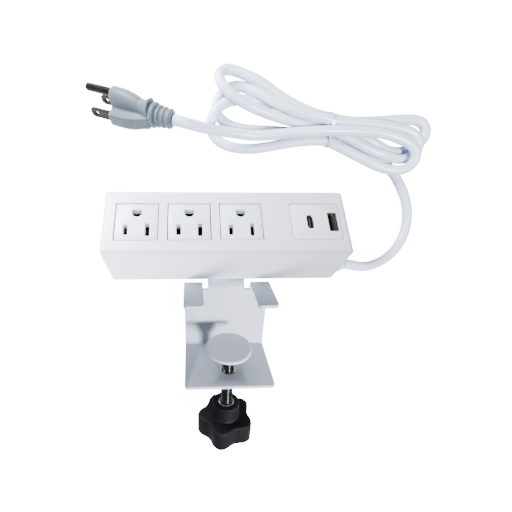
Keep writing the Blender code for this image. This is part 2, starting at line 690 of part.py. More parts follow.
def build_clamp_nut(clamp):
    bore, body, flange = SCREW_RADIUS + GAP, NUT_HOLE - GAP, 7.5 * MM
    top, under = 0.3 * MM, -SHEET - GAP
    profile = [(bore, top), (body, top), (body, under), (flange, under), (flange, under - 3 * MM),
               (bore, under - 3 * MM)]
    nut = turned("clamp_nut", profile, ZINC, clamp, 24, closed=True)
    nut.location = (0, SCREW_Y, 0)


def build_screw(axis):
    tip = PAD_TOP - PAD_THICKNESS - 0.4 * MM
    low = KNOB_BOTTOM + 5 * MM
    profile = [(0, tip), (1.5 * MM, tip - 0.1 * MM), (3.0 * MM, tip - 0.6 * MM), (3.0 * MM, tip - 2.1 * MM),
               (1.8 * MM, tip - 2.1 * MM), (1.8 * MM, tip - 3.5 * MM), (3.0 * MM, tip - 3.5 * MM),
               (3.0 * MM, tip - 6.1 * MM), (SCREW_RADIUS, tip - 6.1 * MM), (SCREW_RADIUS, low), (0, low)]
    turned("clamp_screw", profile, DARK_STEEL, axis, 24)


def build_knob(axis):
    star = star_outline(KNOB_RADIUS, KNOB_WAVE)
    knob = add("knob", outline_mesh("knob", [star], KNOB_BOTTOM, KNOB_TOP), BLACK, axis)
    bevel(knob, KNOB_EDGE, 2, 50)
    hub = rod_mesh("knob_hub", [(0, 0, KNOB_HUB, KNOB_TOP - 4 * MM, KNOB_HUB_TOP)], 32)
    boolean(knob, cutter("knob_hub", hub, axis), 'UNION')
    bore_end = KNOB_BOTTOM + 3 * MM
    bore = rod_mesh("knob_bore", [(0, 0, INSERT_RADIUS + GAP, bore_end, 0)], 24)
    boolean(knob, cutter("knob_bore", bore, axis))
    inner, top, bottom = SCREW_RADIUS + GAP, KNOB_HUB_TOP + GAP, bore_end + GAP
    profile = [(inner, top), (INSERT_RADIUS, top), (INSERT_RADIUS, bottom), (inner, bottom)]
    turned("knob_insert", profile, ZINC, axis, 24, closed=True)


def build_pad(axis):
    """The pad and its socket hang on the screw's end; the retaining ring sits in its groove."""
    under = PAD_TOP - PAD_THICKNESS
    centre = under - 0.4 * MM
    pivot = empty("pad_pivot", axis, (0, 0, centre), (PAD_LEAN, 0, 0))
    rim = PAD_RADIUS
    profile = [(0, PAD_TOP - centre), (rim - 0.9 * MM, PAD_TOP - centre), (rim, PAD_TOP - centre - 0.8 * MM),
               (rim, 0.8 * MM), (rim - 0.4 * MM, 0.4 * MM), (0, 0.4 * MM)]
    turned("pressure_pad", profile, PAD_WHITE, pivot, 40)
    top, lip, bottom = 0.1 * MM, -3.9 * MM, -5.4 * MM
    socket = [(4.7 * MM, top), (6.0 * MM, top), (6.0 * MM, bottom), (3.7 * MM, bottom),
              (3.7 * MM, lip), (4.7 * MM, lip)]
    turned("pad_socket", socket, ZINC, pivot, 24, closed=True)
    ring_top, ring_bottom = centre - 2.4 * MM, centre - 3.2 * MM
    ring = [(2.1 * MM, ring_top), (4.0 * MM, ring_top), (4.0 * MM, ring_bottom), (2.1 * MM, ring_bottom)]
    turned("retaining_ring", ring, DARK_STEEL, axis, 20, closed=True)


# ---------------------------------------------------------------- cord and plug

def hank_outline():
    """Two loops of cord with a waist at the tie, walked anticlockwise from the right loop's foot."""
    right = [(122.5, 99.5), (130.5, 104.5), (135.5, 111.5), (139.5, 119), (147, 124.5), (150, 131.5), (147, 138),
             (139.5, 143), (128.5, 145), (114, 144.5), (94, 142)]
    waist_top = [(83, 141), (76, 140.5), (68.5, 140.5), (60.5, 142)]
    left = [(49.5, 146), (37.5, 153), (26.5, 159), (16.5, 164), (7.5, 167.5), (-0.5, 168.5), (-5.5, 164.5), (-6, 158),
            (-9.5, 150), (-13, 141), (-14, 132.5), (-12, 123.5), (-5, 117), (6, 114.5), (20, 114),
            (39.5, 117)]
    waist_bottom = [(54.5, 119), (68.5, 119), (76.5, 119), (84.5, 114.5)]
    foot = [(93.5, 107), (103.5, 102), (113.5, 99)]
    knots = [Vector((x, y, 0)) * MM for x, y in right + waist_top + left + waist_bottom + foot]
    ring = smooth_path([*knots, knots[0]], 5 * MM)[:-1]
    return [(p.x, p.y) for p in ring]


def build_cord(face):
    loop = hank_outline()
    hank = add("cord_hank", outline_mesh("cord_hank", [loop], HANK_BOTTOM, HANK_TOP), CORD_WHITE)
    bevel(hank, 3 * MM, 2, 60)
    cut = box_mesh("hank_ends", (-60 * MM, HANK_EXIT[0] * MM + 2.5 * MM, 60 * MM, 200 * MM, 0, 60 * MM))
    boolean(hank, cutter("hank_ends", cut))
    waist = [y for x, y in loop if abs(x - TIE_X) < 6 * MM]
    low, high = min(waist) - GAP, max(waist) + GAP
    thick = 1.0 * MM
    loops = [rounded_rectangle(low - GAP - t, high + GAP + t, HANK_BOTTOM - GAP - t, HANK_TOP + GAP + t,
                               t + 0.4 * MM) for t in (thick, 0)]
    band = outline_mesh("cable_tie", loops, TIE_X - TIE_WIDTH / 2, TIE_X + TIE_WIDTH / 2)
    band.transform(Matrix(((0, 0, 1, 0), (1, 0, 0, 0), (0, 1, 0, 0), (0, 0, 0, 1))))
    add("cable_tie", band, CLEAR)
    exit_point = face.matrix_world @ Vector((GLAND_END + GAP, EXIT_V, EXIT_Z))
    straight = exit_point + Vector((4 * MM, 0, 0))
    route = [straight] + [Vector(p) * MM for p in ROUTE_TO_HANK] + [Vector(HANK_ENTRY) * MM]
    path = [exit_point] + smooth_path(route, 2 * 2 * CORD_RADIUS)
    tube("cord_to_hank", path, CORD_RADIUS, CORD_WHITE)


def plug_section(half, bottom, shoulder, hump, top):
    """Half outline of the plug mirrored: a flat block with a round hump for the ground pin."""
    side = [(0, bottom), (half * 0.55, bottom), (half - 1.5 * MM, bottom), (half, bottom + 1.5 * MM),
            (half, shoulder - 1.5 * MM), (half - 1.2 * MM, shoulder), (hump + 1.5 * MM, shoulder + 0.8 * MM),
            (hump, shoulder + 2.5 * MM)]
    for step in range(1, 4):
        angle = math.pi / 2 * step / 3
        side.append((hump * math.cos(angle), top - hump + hump * math.sin(angle)))
    return side + [(-x, y) for x, y in reversed(side[1:-1])]


def build_plug():
    axes = empty("plug_axes", None, PLUG_FACE)
    forward = Vector((-math.cos(PLUG_YAW) * math.cos(PLUG_DIP), math.sin(PLUG_YAW) * math.cos(PLUG_DIP),
                      -math.sin(PLUG_DIP)))
    level = Vector((math.sin(PLUG_YAW), math.cos(PLUG_YAW), 0))
    upright = level.cross(forward)
    ground = math.cos(PLUG_ROLL) * level + math.sin(PLUG_ROLL) * upright
    across = ground.cross(forward)
    axes.matrix_world = Matrix.Translation(PLUG_FACE) @ Matrix((across, ground, forward)).transposed().to_4x4()
    bpy.context.view_layer.update()
    wide = PLUG_HALF_WIDTH
    rings = [
        (0.0, wide - 0.5 * MM, -3.5 * MM, 4.4 * MM, 4.5 * MM, 15.4 * MM),
        (-1.2 * MM, wide, -4.0 * MM, 4.8 * MM, 4.9 * MM, 15.9 * MM),
        (-11 * MM, wide, -4.0 * MM, 4.8 * MM, 4.9 * MM, 15.4 * MM),
        (-17 * MM, wide - 0.8 * MM, -4.0 * MM, 4.6 * MM, 4.9 * MM, 13.2 * MM),
        (-21.5 * MM, wide - 3.2 * MM, -3.8 * MM, 3.6 * MM, 4.8 * MM, 11.2 * MM),
        (-PLUG_LENGTH, wide - 4.6 * MM, -3.4 * MM, 2.6 * MM, 4.8 * MM, 10.2 * MM),
    ]
    body = loft("plug_body", [
        [Vector((x, y, depth)) for x, y in plug_section(*sizes)] for depth, *sizes in rings],
        PLUG_GREY, axes)
    half_thick, half_wide = BLADE_THICKNESS / 2, BLADE_WIDTH / 2
    pockets = []
    for name, side in (("plug_line_blade", -1), ("plug_neutral_blade", 1)):
        x = side * SLOT_SPACING / 2
        blade = add(name, box_mesh(name, (x - half_thick, x + half_thick, -half_wide, half_wide,
                                          -BLADE_ROOT, BLADE_LENGTH)), BRASS, axes)
        hole = rod_mesh("blade_hole", [(0, 0, BLADE_HOLE, -10 * MM, 10 * MM)], 16)
        hole.transform(along_x(x, 0, 11.9 * MM))
        boolean(blade, cutter(name + "_hole", hole, axes))
        pockets.append((x - half_thick - GAP, x + half_thick + GAP, -half_wide - GAP, half_wide + GAP,
                        -BLADE_ROOT - GAP, 5 * MM))
    boolean(body, cutter("blade_pockets", box_mesh("blade_pockets", *pockets), axes))
    pin_rise = GROUND_LEVEL - SLOT_LEVEL
    pin_pocket = rod_mesh("pin_pocket", [(0, pin_rise, PIN_RADIUS + GAP, -BLADE_ROOT - GAP, 5 * MM)], 16)
    boolean(body, cutter("pin_pocket", pin_pocket, axes))
    pin_profile = [(0, PIN_LENGTH), (PIN_RADIUS / 2, PIN_LENGTH - 0.4 * MM), (PIN_RADIUS, PIN_LENGTH - 2 * MM),
                   (PIN_RADIUS, -BLADE_ROOT), (0, -BLADE_ROOT)]
    pin = turned("plug_ground_pin", pin_profile, BRASS, axes, 16)
    pin.location = (0, pin_rise, 0)
    start = -PLUG_LENGTH - GAP
    end = start - RELIEF_LENGTH
    ribs = [(0, start), (PLUG_COLLAR - 0.5 * MM, start), (PLUG_COLLAR, start - 0.5 * MM),
            (PLUG_COLLAR, start - 2.2 * MM)]
    for rib in range(3):
        top = start - (3.0 + 3.8 * rib) * MM
        radius = (6.4 - 0.3 * rib) * MM
        ribs += [(5.0 * MM, top), (5.0 * MM, top - MM), (radius, top - 1.2 * MM), (radius, top - 3.2 * MM)]
    ribs += [(CORD_RADIUS + 0.8 * MM, end), (0, end)]
    relief = turned("plug_strain_relief", ribs, PLUG_GREY, axes, 20)
    relief.location = (0, PLUG_AXIS_RISE, 0)
    bpy.context.view_layer.update()
    back = axes.matrix_world @ Vector((0, PLUG_AXIS_RISE, end - GAP))
    before = axes.matrix_world @ Vector((0, PLUG_AXIS_RISE, end - 3 * MM))
    route = [Vector(HANK_EXIT) * MM, Vector(HANK_BEFORE_EXIT) * MM, before]
    path = smooth_path(route, 2 * CORD_RADIUS) + [back]
    tube("cord_to_plug", path, CORD_RADIUS, CORD_WHITE)


# ---------------------------------------------------------------- assembly

clear_scene()
PARTS = collection("desk_power_strip")
CUTTERS = collection("cutters")

WHITE = material("white_plastic", (0.80, 0.82, 0.86), 0.35)
BRACKET_WHITE = material("white_painted_steel", (0.72, 0.75, 0.80), 0.38, 0.0)
PAD_WHITE = material("grey_painted_steel", (0.52, 0.55, 0.60), 0.4, 0.2)
BLACK = material("black_plastic", (0.015, 0.013, 0.016), 0.5)
STEEL = material("steel", (0.6, 0.6, 0.62), 0.3, 1.0)
DARK_STEEL = material("black_zinc", (0.05, 0.05, 0.05), 0.35, 0.9)
ZINC = material("zinc", (0.65, 0.66, 0.68), 0.25, 1.0)
BRASS = material("brass", (0.7, 0.52, 0.25), 0.3, 1.0)
AMBER = material("amber_plastic", (0.35, 0.14, 0.04), 0.4)
TAN = material("insulating_board", (0.55, 0.42, 0.25), 0.7)
GREEN = material("circuit_board", (0.02, 0.16, 0.06), 0.45)
RED = material("line_insulation", (0.02, 0.02, 0.02), 0.5)
CREAM = material("neutral_insulation", (0.8, 0.8, 0.78), 0.5)
GREEN_WIRE = material("ground_insulation", (0.03, 0.3, 0.06), 0.5)
CORD_WHITE = material("cord_white", (0.74, 0.77, 0.86), 0.45)
PLUG_GREY = material("plug_grey", (0.46, 0.52, 0.58), 0.5)
CLEAR = material("tie_clear", (0.85, 0.87, 0.9), 0.3)


def main():
    lean, height = resting_pose()
    clamp = empty("clamp_axes", None, (BRACKET_OFFSET, CENTRE_Y, height), (lean - math.pi / 2, 0, 0))
    face = empty("face_axes", clamp, face_origin(), (FACE_TILT, 0, 0))
    screw_axis = empty("screw_axis", clamp, (0, SCREW_Y, 0))
    bpy.context.view_layer.update()
    build_front_cover(face)
    build_rear_cover(face)
    build_housing_screws(face)
    build_outlets(face)
    build_bus_bars(face)
    build_usb(face)
    build_wires(face)
    build_gland(face)
    build_bracket(clamp, face)
    build_clamp_nut(clamp)
    build_screw(screw_axis)
    build_knob(screw_axis)
    build_pad(screw_axis)
    build_cord(face)
    build_plug()


main()
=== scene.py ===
"""A desk power strip on a screw clamp, with its cord tied in a hank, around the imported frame."""

import json
import math

import bmesh
import bpy
import numpy as np
from mathutils import Matrix, Vector


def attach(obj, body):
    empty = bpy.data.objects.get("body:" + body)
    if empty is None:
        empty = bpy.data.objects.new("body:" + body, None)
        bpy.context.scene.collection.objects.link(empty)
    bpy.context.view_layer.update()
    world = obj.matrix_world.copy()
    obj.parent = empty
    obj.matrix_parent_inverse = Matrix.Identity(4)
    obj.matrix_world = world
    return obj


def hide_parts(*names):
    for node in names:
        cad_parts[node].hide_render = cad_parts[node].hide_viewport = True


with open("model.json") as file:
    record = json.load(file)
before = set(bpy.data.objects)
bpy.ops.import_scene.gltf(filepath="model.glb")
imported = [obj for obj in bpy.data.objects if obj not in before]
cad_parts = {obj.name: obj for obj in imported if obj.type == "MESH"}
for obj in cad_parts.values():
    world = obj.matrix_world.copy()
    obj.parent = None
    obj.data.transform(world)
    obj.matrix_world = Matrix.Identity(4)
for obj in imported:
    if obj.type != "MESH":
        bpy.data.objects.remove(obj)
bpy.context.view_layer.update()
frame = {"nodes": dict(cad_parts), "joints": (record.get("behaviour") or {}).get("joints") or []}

MM = 0.001
NODES = frame["nodes"]

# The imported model's own axes: SCREW has Z up the screw from the plate's underside, CLAMP stands at
# the plate's corner, FACE lies in the outlet face (X along it, Y up it) and PAD on the leaning pad.
TURN = next(joint for joint in frame["joints"] if joint["name"] == "knob_turn")
FACE_TILT = math.radians(39.5)
SCREW_REACH, SETBACK, PRONG_TOP, PAD_LEVEL, PAD_LEAN = 28.5, 3.5, 50.0, 15.8, math.radians(4.5)
MIDDLE_X = -1.5
REST_GAP = 0.3
LENGTH, HEIGHT, DEPTH, EDGE, WALL, REAR_WALL = 147.4, 44.3, 36.5, 2.5, 2.6, 3.0
BLADE_OFFSET, GROUND_RISE = 6.35, 11.9


def screw_axes():
    up = Vector(TURN["axis"]).normalized()
    right = Vector((1, 0, 0))
    return Matrix.Translation(TURN["pos_m"]) @ Matrix((right, up.cross(right), up)).transposed().to_4x4()


def face_place():
    """The outlet face's lower left corner in the clamp's axes, in millimetres."""
    sine, cosine = math.sin(FACE_TILT), math.cos(FACE_TILT)
    rear = PRONG_TOP + REST_GAP + EDGE * (1 - sine - cosine)
    return Vector((MIDDLE_X, SETBACK - DEPTH * sine, rear + DEPTH * cosine))


SCREW = screw_axes()
CLAMP = SCREW @ Matrix.Translation((0, SCREW_REACH * MM, 0))
FACE = CLAMP @ Matrix.Translation(face_place() * MM) @ Matrix.Rotation(FACE_TILT, 4, 'X')
PAD = SCREW @ Matrix.Translation((0, 0, PAD_LEVEL * MM)) @ Matrix.Rotation(PAD_LEAN, 4, 'X')

# The cord leaves the gland at its end, at EXIT_V up the face and EXIT_Z behind it.
CORD_RADIUS = 3.3 * MM
GLAND_END, GLAND_GAP = 79.0, 0.3
EXIT_V, EXIT_Z = 7.4, -28.6
PLUG_FACE = Vector((-67.9, 139.4, 11.0)) * MM
PLUG_YAW, PLUG_DIP, PLUG_ROLL = (math.radians(a) for a in (18.5, 18.0, 61.0))
PLUG_LENGTH, RELIEF_LENGTH, PLUG_AXIS_RISE = 25.5, 15.0, 3.0


def plug_axes():
    forward = Vector((-math.cos(PLUG_YAW) * math.cos(PLUG_DIP), math.sin(PLUG_YAW) * math.cos(PLUG_DIP),
                      -math.sin(PLUG_DIP)))
    level = Vector((math.sin(PLUG_YAW), math.cos(PLUG_YAW), 0))
    upright = level.cross(forward)
    ground = math.cos(PLUG_ROLL) * level + math.sin(PLUG_ROLL) * upright
    across = ground.cross(forward)
    return Matrix.Translation(PLUG_FACE) @ Matrix((across, ground, forward)).transposed().to_4x4()


PLUG = plug_axes()


# ---------------------------------------------------------------- camera

def make_camera():
    data = bpy.data.cameras.new("camera")
    data.sensor_width = 36.0
    data.lens = 23.624
    data.shift_x = 0.0938
    data.shift_y = 0.0730
    data.clip_start = 0.01
    data.clip_end = 10.0
    item = bpy.data.objects.new("camera", data)
    bpy.context.scene.collection.objects.link(item)
    item.location = (-0.02115, 0.054418, 0.245146)
    item.rotation_euler = [math.radians(a) for a in (-8.5367, -2.7196, -0.1980)]
    bpy.context.scene.camera = item


make_camera()


# ---------------------------------------------------------------- materials

def shader_of(name):
    made = bpy.data.materials.new(name)
    made.use_nodes = True
    return made, made.node_tree, made.node_tree.nodes["Principled BSDF"]


def surface(name, colour, rough, metal=0.0, tint=0.06, tint_size=18, grain=2200, bump=0.06,
            rough_spread=0.06, coat=0.0, stretch=(1, 1, 1), edge_glint=0.0, gloss=0.5):
    """Colour drifts by tint over tint_size features a metre; grain is the fine texture's, a metre.

    The edge term lightens the sharp edges as a painted highlight, and gloss is the specular level.
    """
    made, tree, shader = shader_of(name)
    new, link = tree.nodes.new, tree.links.new
    place = new("ShaderNodeTexCoord")
    scaled = new("ShaderNodeMapping")
    scaled.inputs["Scale"].default_value = stretch
    link(place.outputs["Object"], scaled.inputs["Vector"])
    cloud = new("ShaderNodeTexNoise")
    cloud.inputs["Scale"].default_value = tint_size
    cloud.inputs["Detail"].default_value = 4
    link(scaled.outputs[0], cloud.inputs["Vector"])
    fine = new("ShaderNodeTexNoise")
    fine.inputs["Scale"].default_value = grain
    fine.inputs["Detail"].default_value = 3
    link(scaled.outputs[0], fine.inputs["Vector"])
    ramp = new("ShaderNodeValToRGB")
    low = [c * (1 - tint) for c in colour]
    high = [min(1, c * (1 + tint)) for c in colour]
    ramp.color_ramp.elements[0].position = 0.35
    ramp.color_ramp.elements[0].color = (*low, 1)
    ramp.color_ramp.elements[1].position = 0.65
    ramp.color_ramp.elements[1].color = (*high, 1)
    link(cloud.outputs["Fac"], ramp.inputs["Fac"])
    colour_out = ramp.outputs["Color"]
    # The sharp edges are made lighter: a painted highlight.
    if edge_glint:
        edge = new("ShaderNodeNewGeometry")
        glint_mask = new("ShaderNodeMapRange")
        glint_mask.inputs["From Min"].default_value = 0.52
        glint_mask.inputs["From Max"].default_value = 0.60
        link(edge.outputs["Pointiness"], glint_mask.inputs["Value"])
        mix = new("ShaderNodeMix")
        mix.data_type = 'RGBA'
        mix.inputs["B"].default_value = (*[min(1, c + edge_glint) for c in colour], 1)
        link(glint_mask.outputs[0], mix.inputs["Factor"])
        link(colour_out, mix.inputs["A"])
        colour_out = mix.outputs["Result"]
    link(colour_out, shader.inputs["Base Color"])
    spread = new("ShaderNodeMapRange")
    spread.inputs["To Min"].default_value = max(0.02, rough - rough_spread)
    spread.inputs["To Max"].default_value = min(1, rough + rough_spread)
    link(fine.outputs["Fac"], spread.inputs["Value"])
    link(spread.outputs[0], shader.inputs["Roughness"])
    if bump:
        lump = new("ShaderNodeBump")
        lump.inputs["Strength"].default_value = bump
        lump.inputs["Distance"].default_value = 0.0002
        link(fine.outputs["Fac"], lump.inputs["Height"])
        link(lump.outputs[0], shader.inputs["Normal"])
    shader.inputs["Metallic"].default_value = metal
    shader.inputs["Coat Weight"].default_value = coat
    shader.inputs["Coat Roughness"].default_value = 0.15
    shader.inputs["Specular IOR Level"].default_value = gloss
    return made


WHITE = surface("white_abs", (0.62, 0.65, 0.735), 0.30, tint=0.02, grain=2600, bump=0.05)
INSERT = surface("white_insert", (0.66, 0.685, 0.75), 0.30, tint=0.015, grain=1800, bump=0.03)
COAT = surface("powder_coat", (0.46, 0.49, 0.56), 0.5, tint=0.02, grain=1500, bump=0.22, gloss=0.3)
PAD_COAT = surface("pad_powder_coat", (0.54, 0.565, 0.645), 0.40, tint=0.03, grain=1300, bump=0.20, coat=0.15)
# The knob's lighter sharp edges are a painted highlight.
BLACK = surface("knob_phenolic", (0.006, 0.0048, 0.006), 0.60, tint=0.25, grain=1700, bump=0.22,
                rough_spread=0.15, edge_glint=0.008, gloss=0.06)
DARK = surface("dark_plastic", (0.02, 0.02, 0.022), 0.5, tint=0.2, grain=1500, bump=0.1)
THREAD = surface("blackened_steel", (0.045, 0.045, 0.044), 0.27, metal=0.95, tint=0.25, tint_size=160,
                 grain=2600, bump=0.12, rough_spread=0.1)
ZINC = surface("bright_zinc", (0.50, 0.50, 0.50), 0.26, metal=1.0, tint=0.12, tint_size=260,
               grain=3000, bump=0.10, rough_spread=0.1)
STEEL = surface("plated_steel", (0.62, 0.62, 0.64), 0.26, metal=1.0, tint=0.1, tint_size=200,
                grain=3000, bump=0.08)
DARK_SHELL = surface("shaded_steel", (0.07, 0.07, 0.08), 0.35, metal=0.9, tint=0.15, grain=2400, bump=0.08)
BRASS = surface("stamped_brass", (0.72, 0.52, 0.24), 0.28, metal=1.0, tint=0.12, tint_size=120,
                grain=1800, bump=0.12, stretch=(0.15, 1, 1))
# Plug blades and earth pin coloured near-black with no metal: painted shade standing for their dark look.
SHADED_PIN = surface("pin_painted_shade", (0.012, 0.009, 0.009), 0.42, tint=0.35, tint_size=260,
              grain=2600, bump=0.10, rough_spread=0.12, gloss=0.25)
CORD = surface("cord_pvc", (0.51, 0.575, 0.70), 0.34, tint=0.03, tint_size=40, grain=1400, bump=0.05, coat=0.15)
PLUG_PVC = surface("plug_pvc", (0.225, 0.27, 0.32), 0.45, tint=0.03, tint_size=60, grain=1600, bump=0.10)
# The USB-A tongue is amber plastic, darkened nearly to black: painted shade for its place inside the port.
AMBER_SHADED = surface("amber_plastic", (0.012, 0.0065, 0.004), 0.35, tint=0.15, grain=1500, bump=0.05)
BOARD = surface("pressed_board", (0.55, 0.42, 0.25), 0.75, tint=0.12, tint_size=400, grain=1200, bump=0.3)
GREEN = surface("solder_mask", (0.02, 0.16, 0.06), 0.35, tint=0.2, tint_size=300, grain=900, bump=0.1, coat=0.3)
LINE_COVER = surface("line_insulation", (0.02, 0.02, 0.02), 0.4, tint=0.2, grain=1200, bump=0.05)
NEUTRAL_COVER = surface("neutral_insulation", (0.8, 0.8, 0.76), 0.4, tint=0.04, grain=1200, bump=0.05)
GROUND_COVER = surface("ground_insulation", (0.03, 0.3, 0.06), 0.4, tint=0.1, grain=1200, bump=0.05)


def tie_film():
    """The cable tie's slightly see-through plastic."""
    made, tree, shader = shader_of("tie_film")
    shader.inputs["Base Color"].default_value = (0.42, 0.46, 0.55, 1)
    shader.inputs["Transmission Weight"].default_value = 0.2
    shader.inputs["IOR"].default_value = 1.45
    noise_node = tree.nodes.new("ShaderNodeTexNoise")
    noise_node.inputs["Scale"].default_value = 500
    spread = tree.nodes.new("ShaderNodeMapRange")
    spread.inputs["To Min"].default_value = 0.15
    spread.inputs["To Max"].default_value = 0.35
    tree.links.new(noise_node.outputs["Fac"], spread.inputs["Value"])
    tree.links.new(spread.outputs[0], shader.inputs["Roughness"])
    return made


TIE_FILM = tie_film()


# ---------------------------------------------------------------- shape helpers

def mesh_from(build):
    bm = bmesh.new()
    build(bm)
    made = bpy.data.meshes.new("made")
    bm.to_mesh(made)
    bm.free()
    return made


def evaluated(mesh_or_curve, modify=None, tools=()):
    """The mesh of an object with its modifiers applied; the object is removed."""
    holder = bpy.data.objects.new("holder", mesh_or_curve)
    bpy.context.scene.collection.objects.link(holder)
    if modify:
        modify(holder)
    bpy.context.view_layer.update()
    made = bpy.data.meshes.new_from_object(holder.evaluated_get(bpy.context.evaluated_depsgraph_get()))
    bpy.data.objects.remove(holder, do_unlink=True)
    for tool in tools:
        bpy.data.objects.remove(tool, do_unlink=True)
    return made


def box_mesh(*boxes):
    """Separate boxes in millimetres, each (x0, x1, y0, y1, z0, z1)."""
    def build(bm):
        for x0, x1, y0, y1, z0, z1 in boxes:
            size = Matrix.Diagonal(((x1 - x0) * MM, (y1 - y0) * MM, (z1 - z0) * MM, 1))
            middle = Vector((x0 + x1, y0 + y1, z0 + z1)) * (MM / 2)
            bmesh.ops.create_cube(bm, size=1.0, matrix=Matrix.Translation(middle) @ size)
    return mesh_from(build)


def rod_mesh(*rods, sides=32):
    """Separate upright cylinders in millimetres, each (x, y, radius, z0, z1)."""
    def build(bm):
        for x, y, radius, z0, z1 in rods:
            place = Matrix.Translation(Vector((x, y, (z0 + z1) / 2)) * MM)
            bmesh.ops.create_cone(bm, cap_ends=True, segments=sides, radius1=radius * MM,
                                  radius2=radius * MM, depth=(z1 - z0) * MM, matrix=place)
    return mesh_from(build)


def outline_mesh(loops, z0, z1):
    """Outlines in millimetres, holes as further loops, extruded from z0 to z1."""
    curve = bpy.data.curves.new("outline", 'CURVE')
    curve.dimensions = '2D'
    curve.fill_mode = 'BOTH'
    curve.extrude = (z1 - z0) * MM / 2
    for loop in loops:
        spline = curve.splines.new('POLY')
        spline.points.add(len(loop) - 1)
        for point, (x, y) in zip(spline.points, loop):
            point.co = (x * MM, y * MM, 0, 1)
        spline.use_cyclic_u = True
    made = evaluated(curve)
    made.transform(Matrix.Translation((0, 0, (z0 + z1) * MM / 2)))
    bm = bmesh.new()
    bm.from_mesh(made)
    bmesh.ops.remove_doubles(bm, verts=bm.verts, dist=1e-6)
    bmesh.ops.recalc_face_normals(bm, faces=bm.faces)
    bmesh.ops.dissolve_limit(bm, angle_limit=math.radians(0.5), verts=bm.verts, edges=bm.edges)
    bm.to_mesh(made)
    bm.free()
    made.materials.clear()
    return made


def rounded_rectangle(x0, x1, y0, y1, radius, steps=8):
    points = []
    corners = [(x1 - radius, y1 - radius), (x0 + radius, y1 - radius),
               (x0 + radius, y0 + radius), (x1 - radius, y0 + radius)]
    for quarter, (cx, cy) in enumerate(corners):
        for step in range(steps + 1):
            angle = math.pi / 2 * (quarter + step / steps)
            points.append((cx + radius * math.cos(angle), cy + radius * math.sin(angle)))
    return points


def cut(mesh, *tools, operation='DIFFERENCE'):
    """The mesh after a Boolean with each tool mesh in turn."""
    for tool in tools:
        cutter = bpy.data.objects.new("cutter", tool)
        bpy.context.scene.collection.objects.link(cutter)

        def modify(holder):
            step = holder.modifiers.new("cut", 'BOOLEAN')
            step.operation = operation
            step.object = cutter
            step.solver = 'EXACT'
        mesh = evaluated(mesh, modify, [cutter])
    return mesh


def bevelled(mesh, width, segments=3, angle=30.0):
    def modify(holder):
        step = holder.modifiers.new("edges", 'BEVEL')
        step.width = width * MM
        step.segments = segments
        step.limit_method = 'ANGLE'
        step.angle_limit = math.radians(angle)
    return evaluated(mesh, modify)


def along_x(x, y, z):
    """Places a mesh built about Z so that it lies along X through a point in millimetres."""
    return Matrix.Translation(Vector((x, y, z)) * MM) @ Matrix.Rotation(math.pi / 2, 4, 'Y')


def turned_mesh(profile, steps=64, closed=False):
    """A profile of (radius, height) in millimetres, listed top to bottom, turned about Z."""
    def build(bm):
        rows = []
        for radius, height in profile:
            if radius < 1e-6:
                rows.append([bm.verts.new((0, 0, height * MM))])
                continue
            ring = []
            for step in range(steps):
                angle = 2 * math.pi * step / steps
                ring.append(bm.verts.new((radius * MM * math.cos(angle), radius * MM * math.sin(angle),
                                          height * MM)))
            rows.append(ring)
        pairs = list(zip(rows, rows[1:])) + ([(rows[-1], rows[0])] if closed else [])
        for high, low in pairs:
            for i in range(steps):
                j = (i + 1) % steps
                corners = [high[i % len(high)], low[i % len(low)], low[j % len(low)], high[j % len(high)]]
                corners = list(dict.fromkeys(corners))
                if len(corners) > 2:
                    bm.faces.new(corners)
        bmesh.ops.recalc_face_normals(bm, faces=bm.faces)
    return mesh_from(build)


def catmull_rom(a, b, c, d, t):
    """The place a share t of the way from b to c."""
    return 0.5 * (2 * b + (c - a) * t + (2 * a - 5 * b + 4 * c - d) * t * t
                  + (3 * b - a - 3 * c + d) * t ** 3)


def ends_added(points):
    """The same points with one more at each end, straight on."""
    return [2 * points[0] - points[1], *points, 2 * points[-1] - points[-2]]


def smooth_path(points, spacing):
    """Points at even spacing on a Catmull-Rom curve through the given points."""
    knots = ends_added(points)
    steps = 24
    fine = [catmull_rom(a, b, c, d, step / steps)
            for a, b, c, d in zip(knots, knots[1:], knots[2:], knots[3:]) for step in range(steps)]
    fine.append(points[-1])
    lengths = [0.0]
    for a, b in zip(fine, fine[1:]):
        lengths.append(lengths[-1] + (b - a).length)
    count = max(2, round(lengths[-1] / spacing))
    even, upper = [fine[0]], 1
    for index in range(1, count + 1):
        target = lengths[-1] * index / count
        while upper < len(lengths) - 1 and lengths[upper] < target:
            upper += 1
        share = (target - lengths[upper - 1]) / (lengths[upper] - lengths[upper - 1])
        even.append(fine[upper - 1].lerp(fine[upper], share))
    return even


def piece(name, mesh, matrix, look, body, replaces=(), smooth=35.0):
    """A finished piece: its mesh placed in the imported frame, riding on a body."""
    mesh.transform(matrix)
    mesh.name = name
    mesh.materials.clear()
    for material in look if isinstance(look, (list, tuple)) else [look]:
        mesh.materials.append(material)
    mesh.shade_smooth()
    mesh.set_sharp_from_angle(angle=math.radians(smooth))
    item = bpy.data.objects.new(name, mesh)
    bpy.context.scene.collection.objects.link(item)
    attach(item, body)
    if replaces:
        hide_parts(*replaces)
    return item


# ---------------------------------------------------------------- cord

EXIT = FACE @ (Vector((GLAND_END + GLAND_GAP, EXIT_V, EXIT_Z)) * MM)

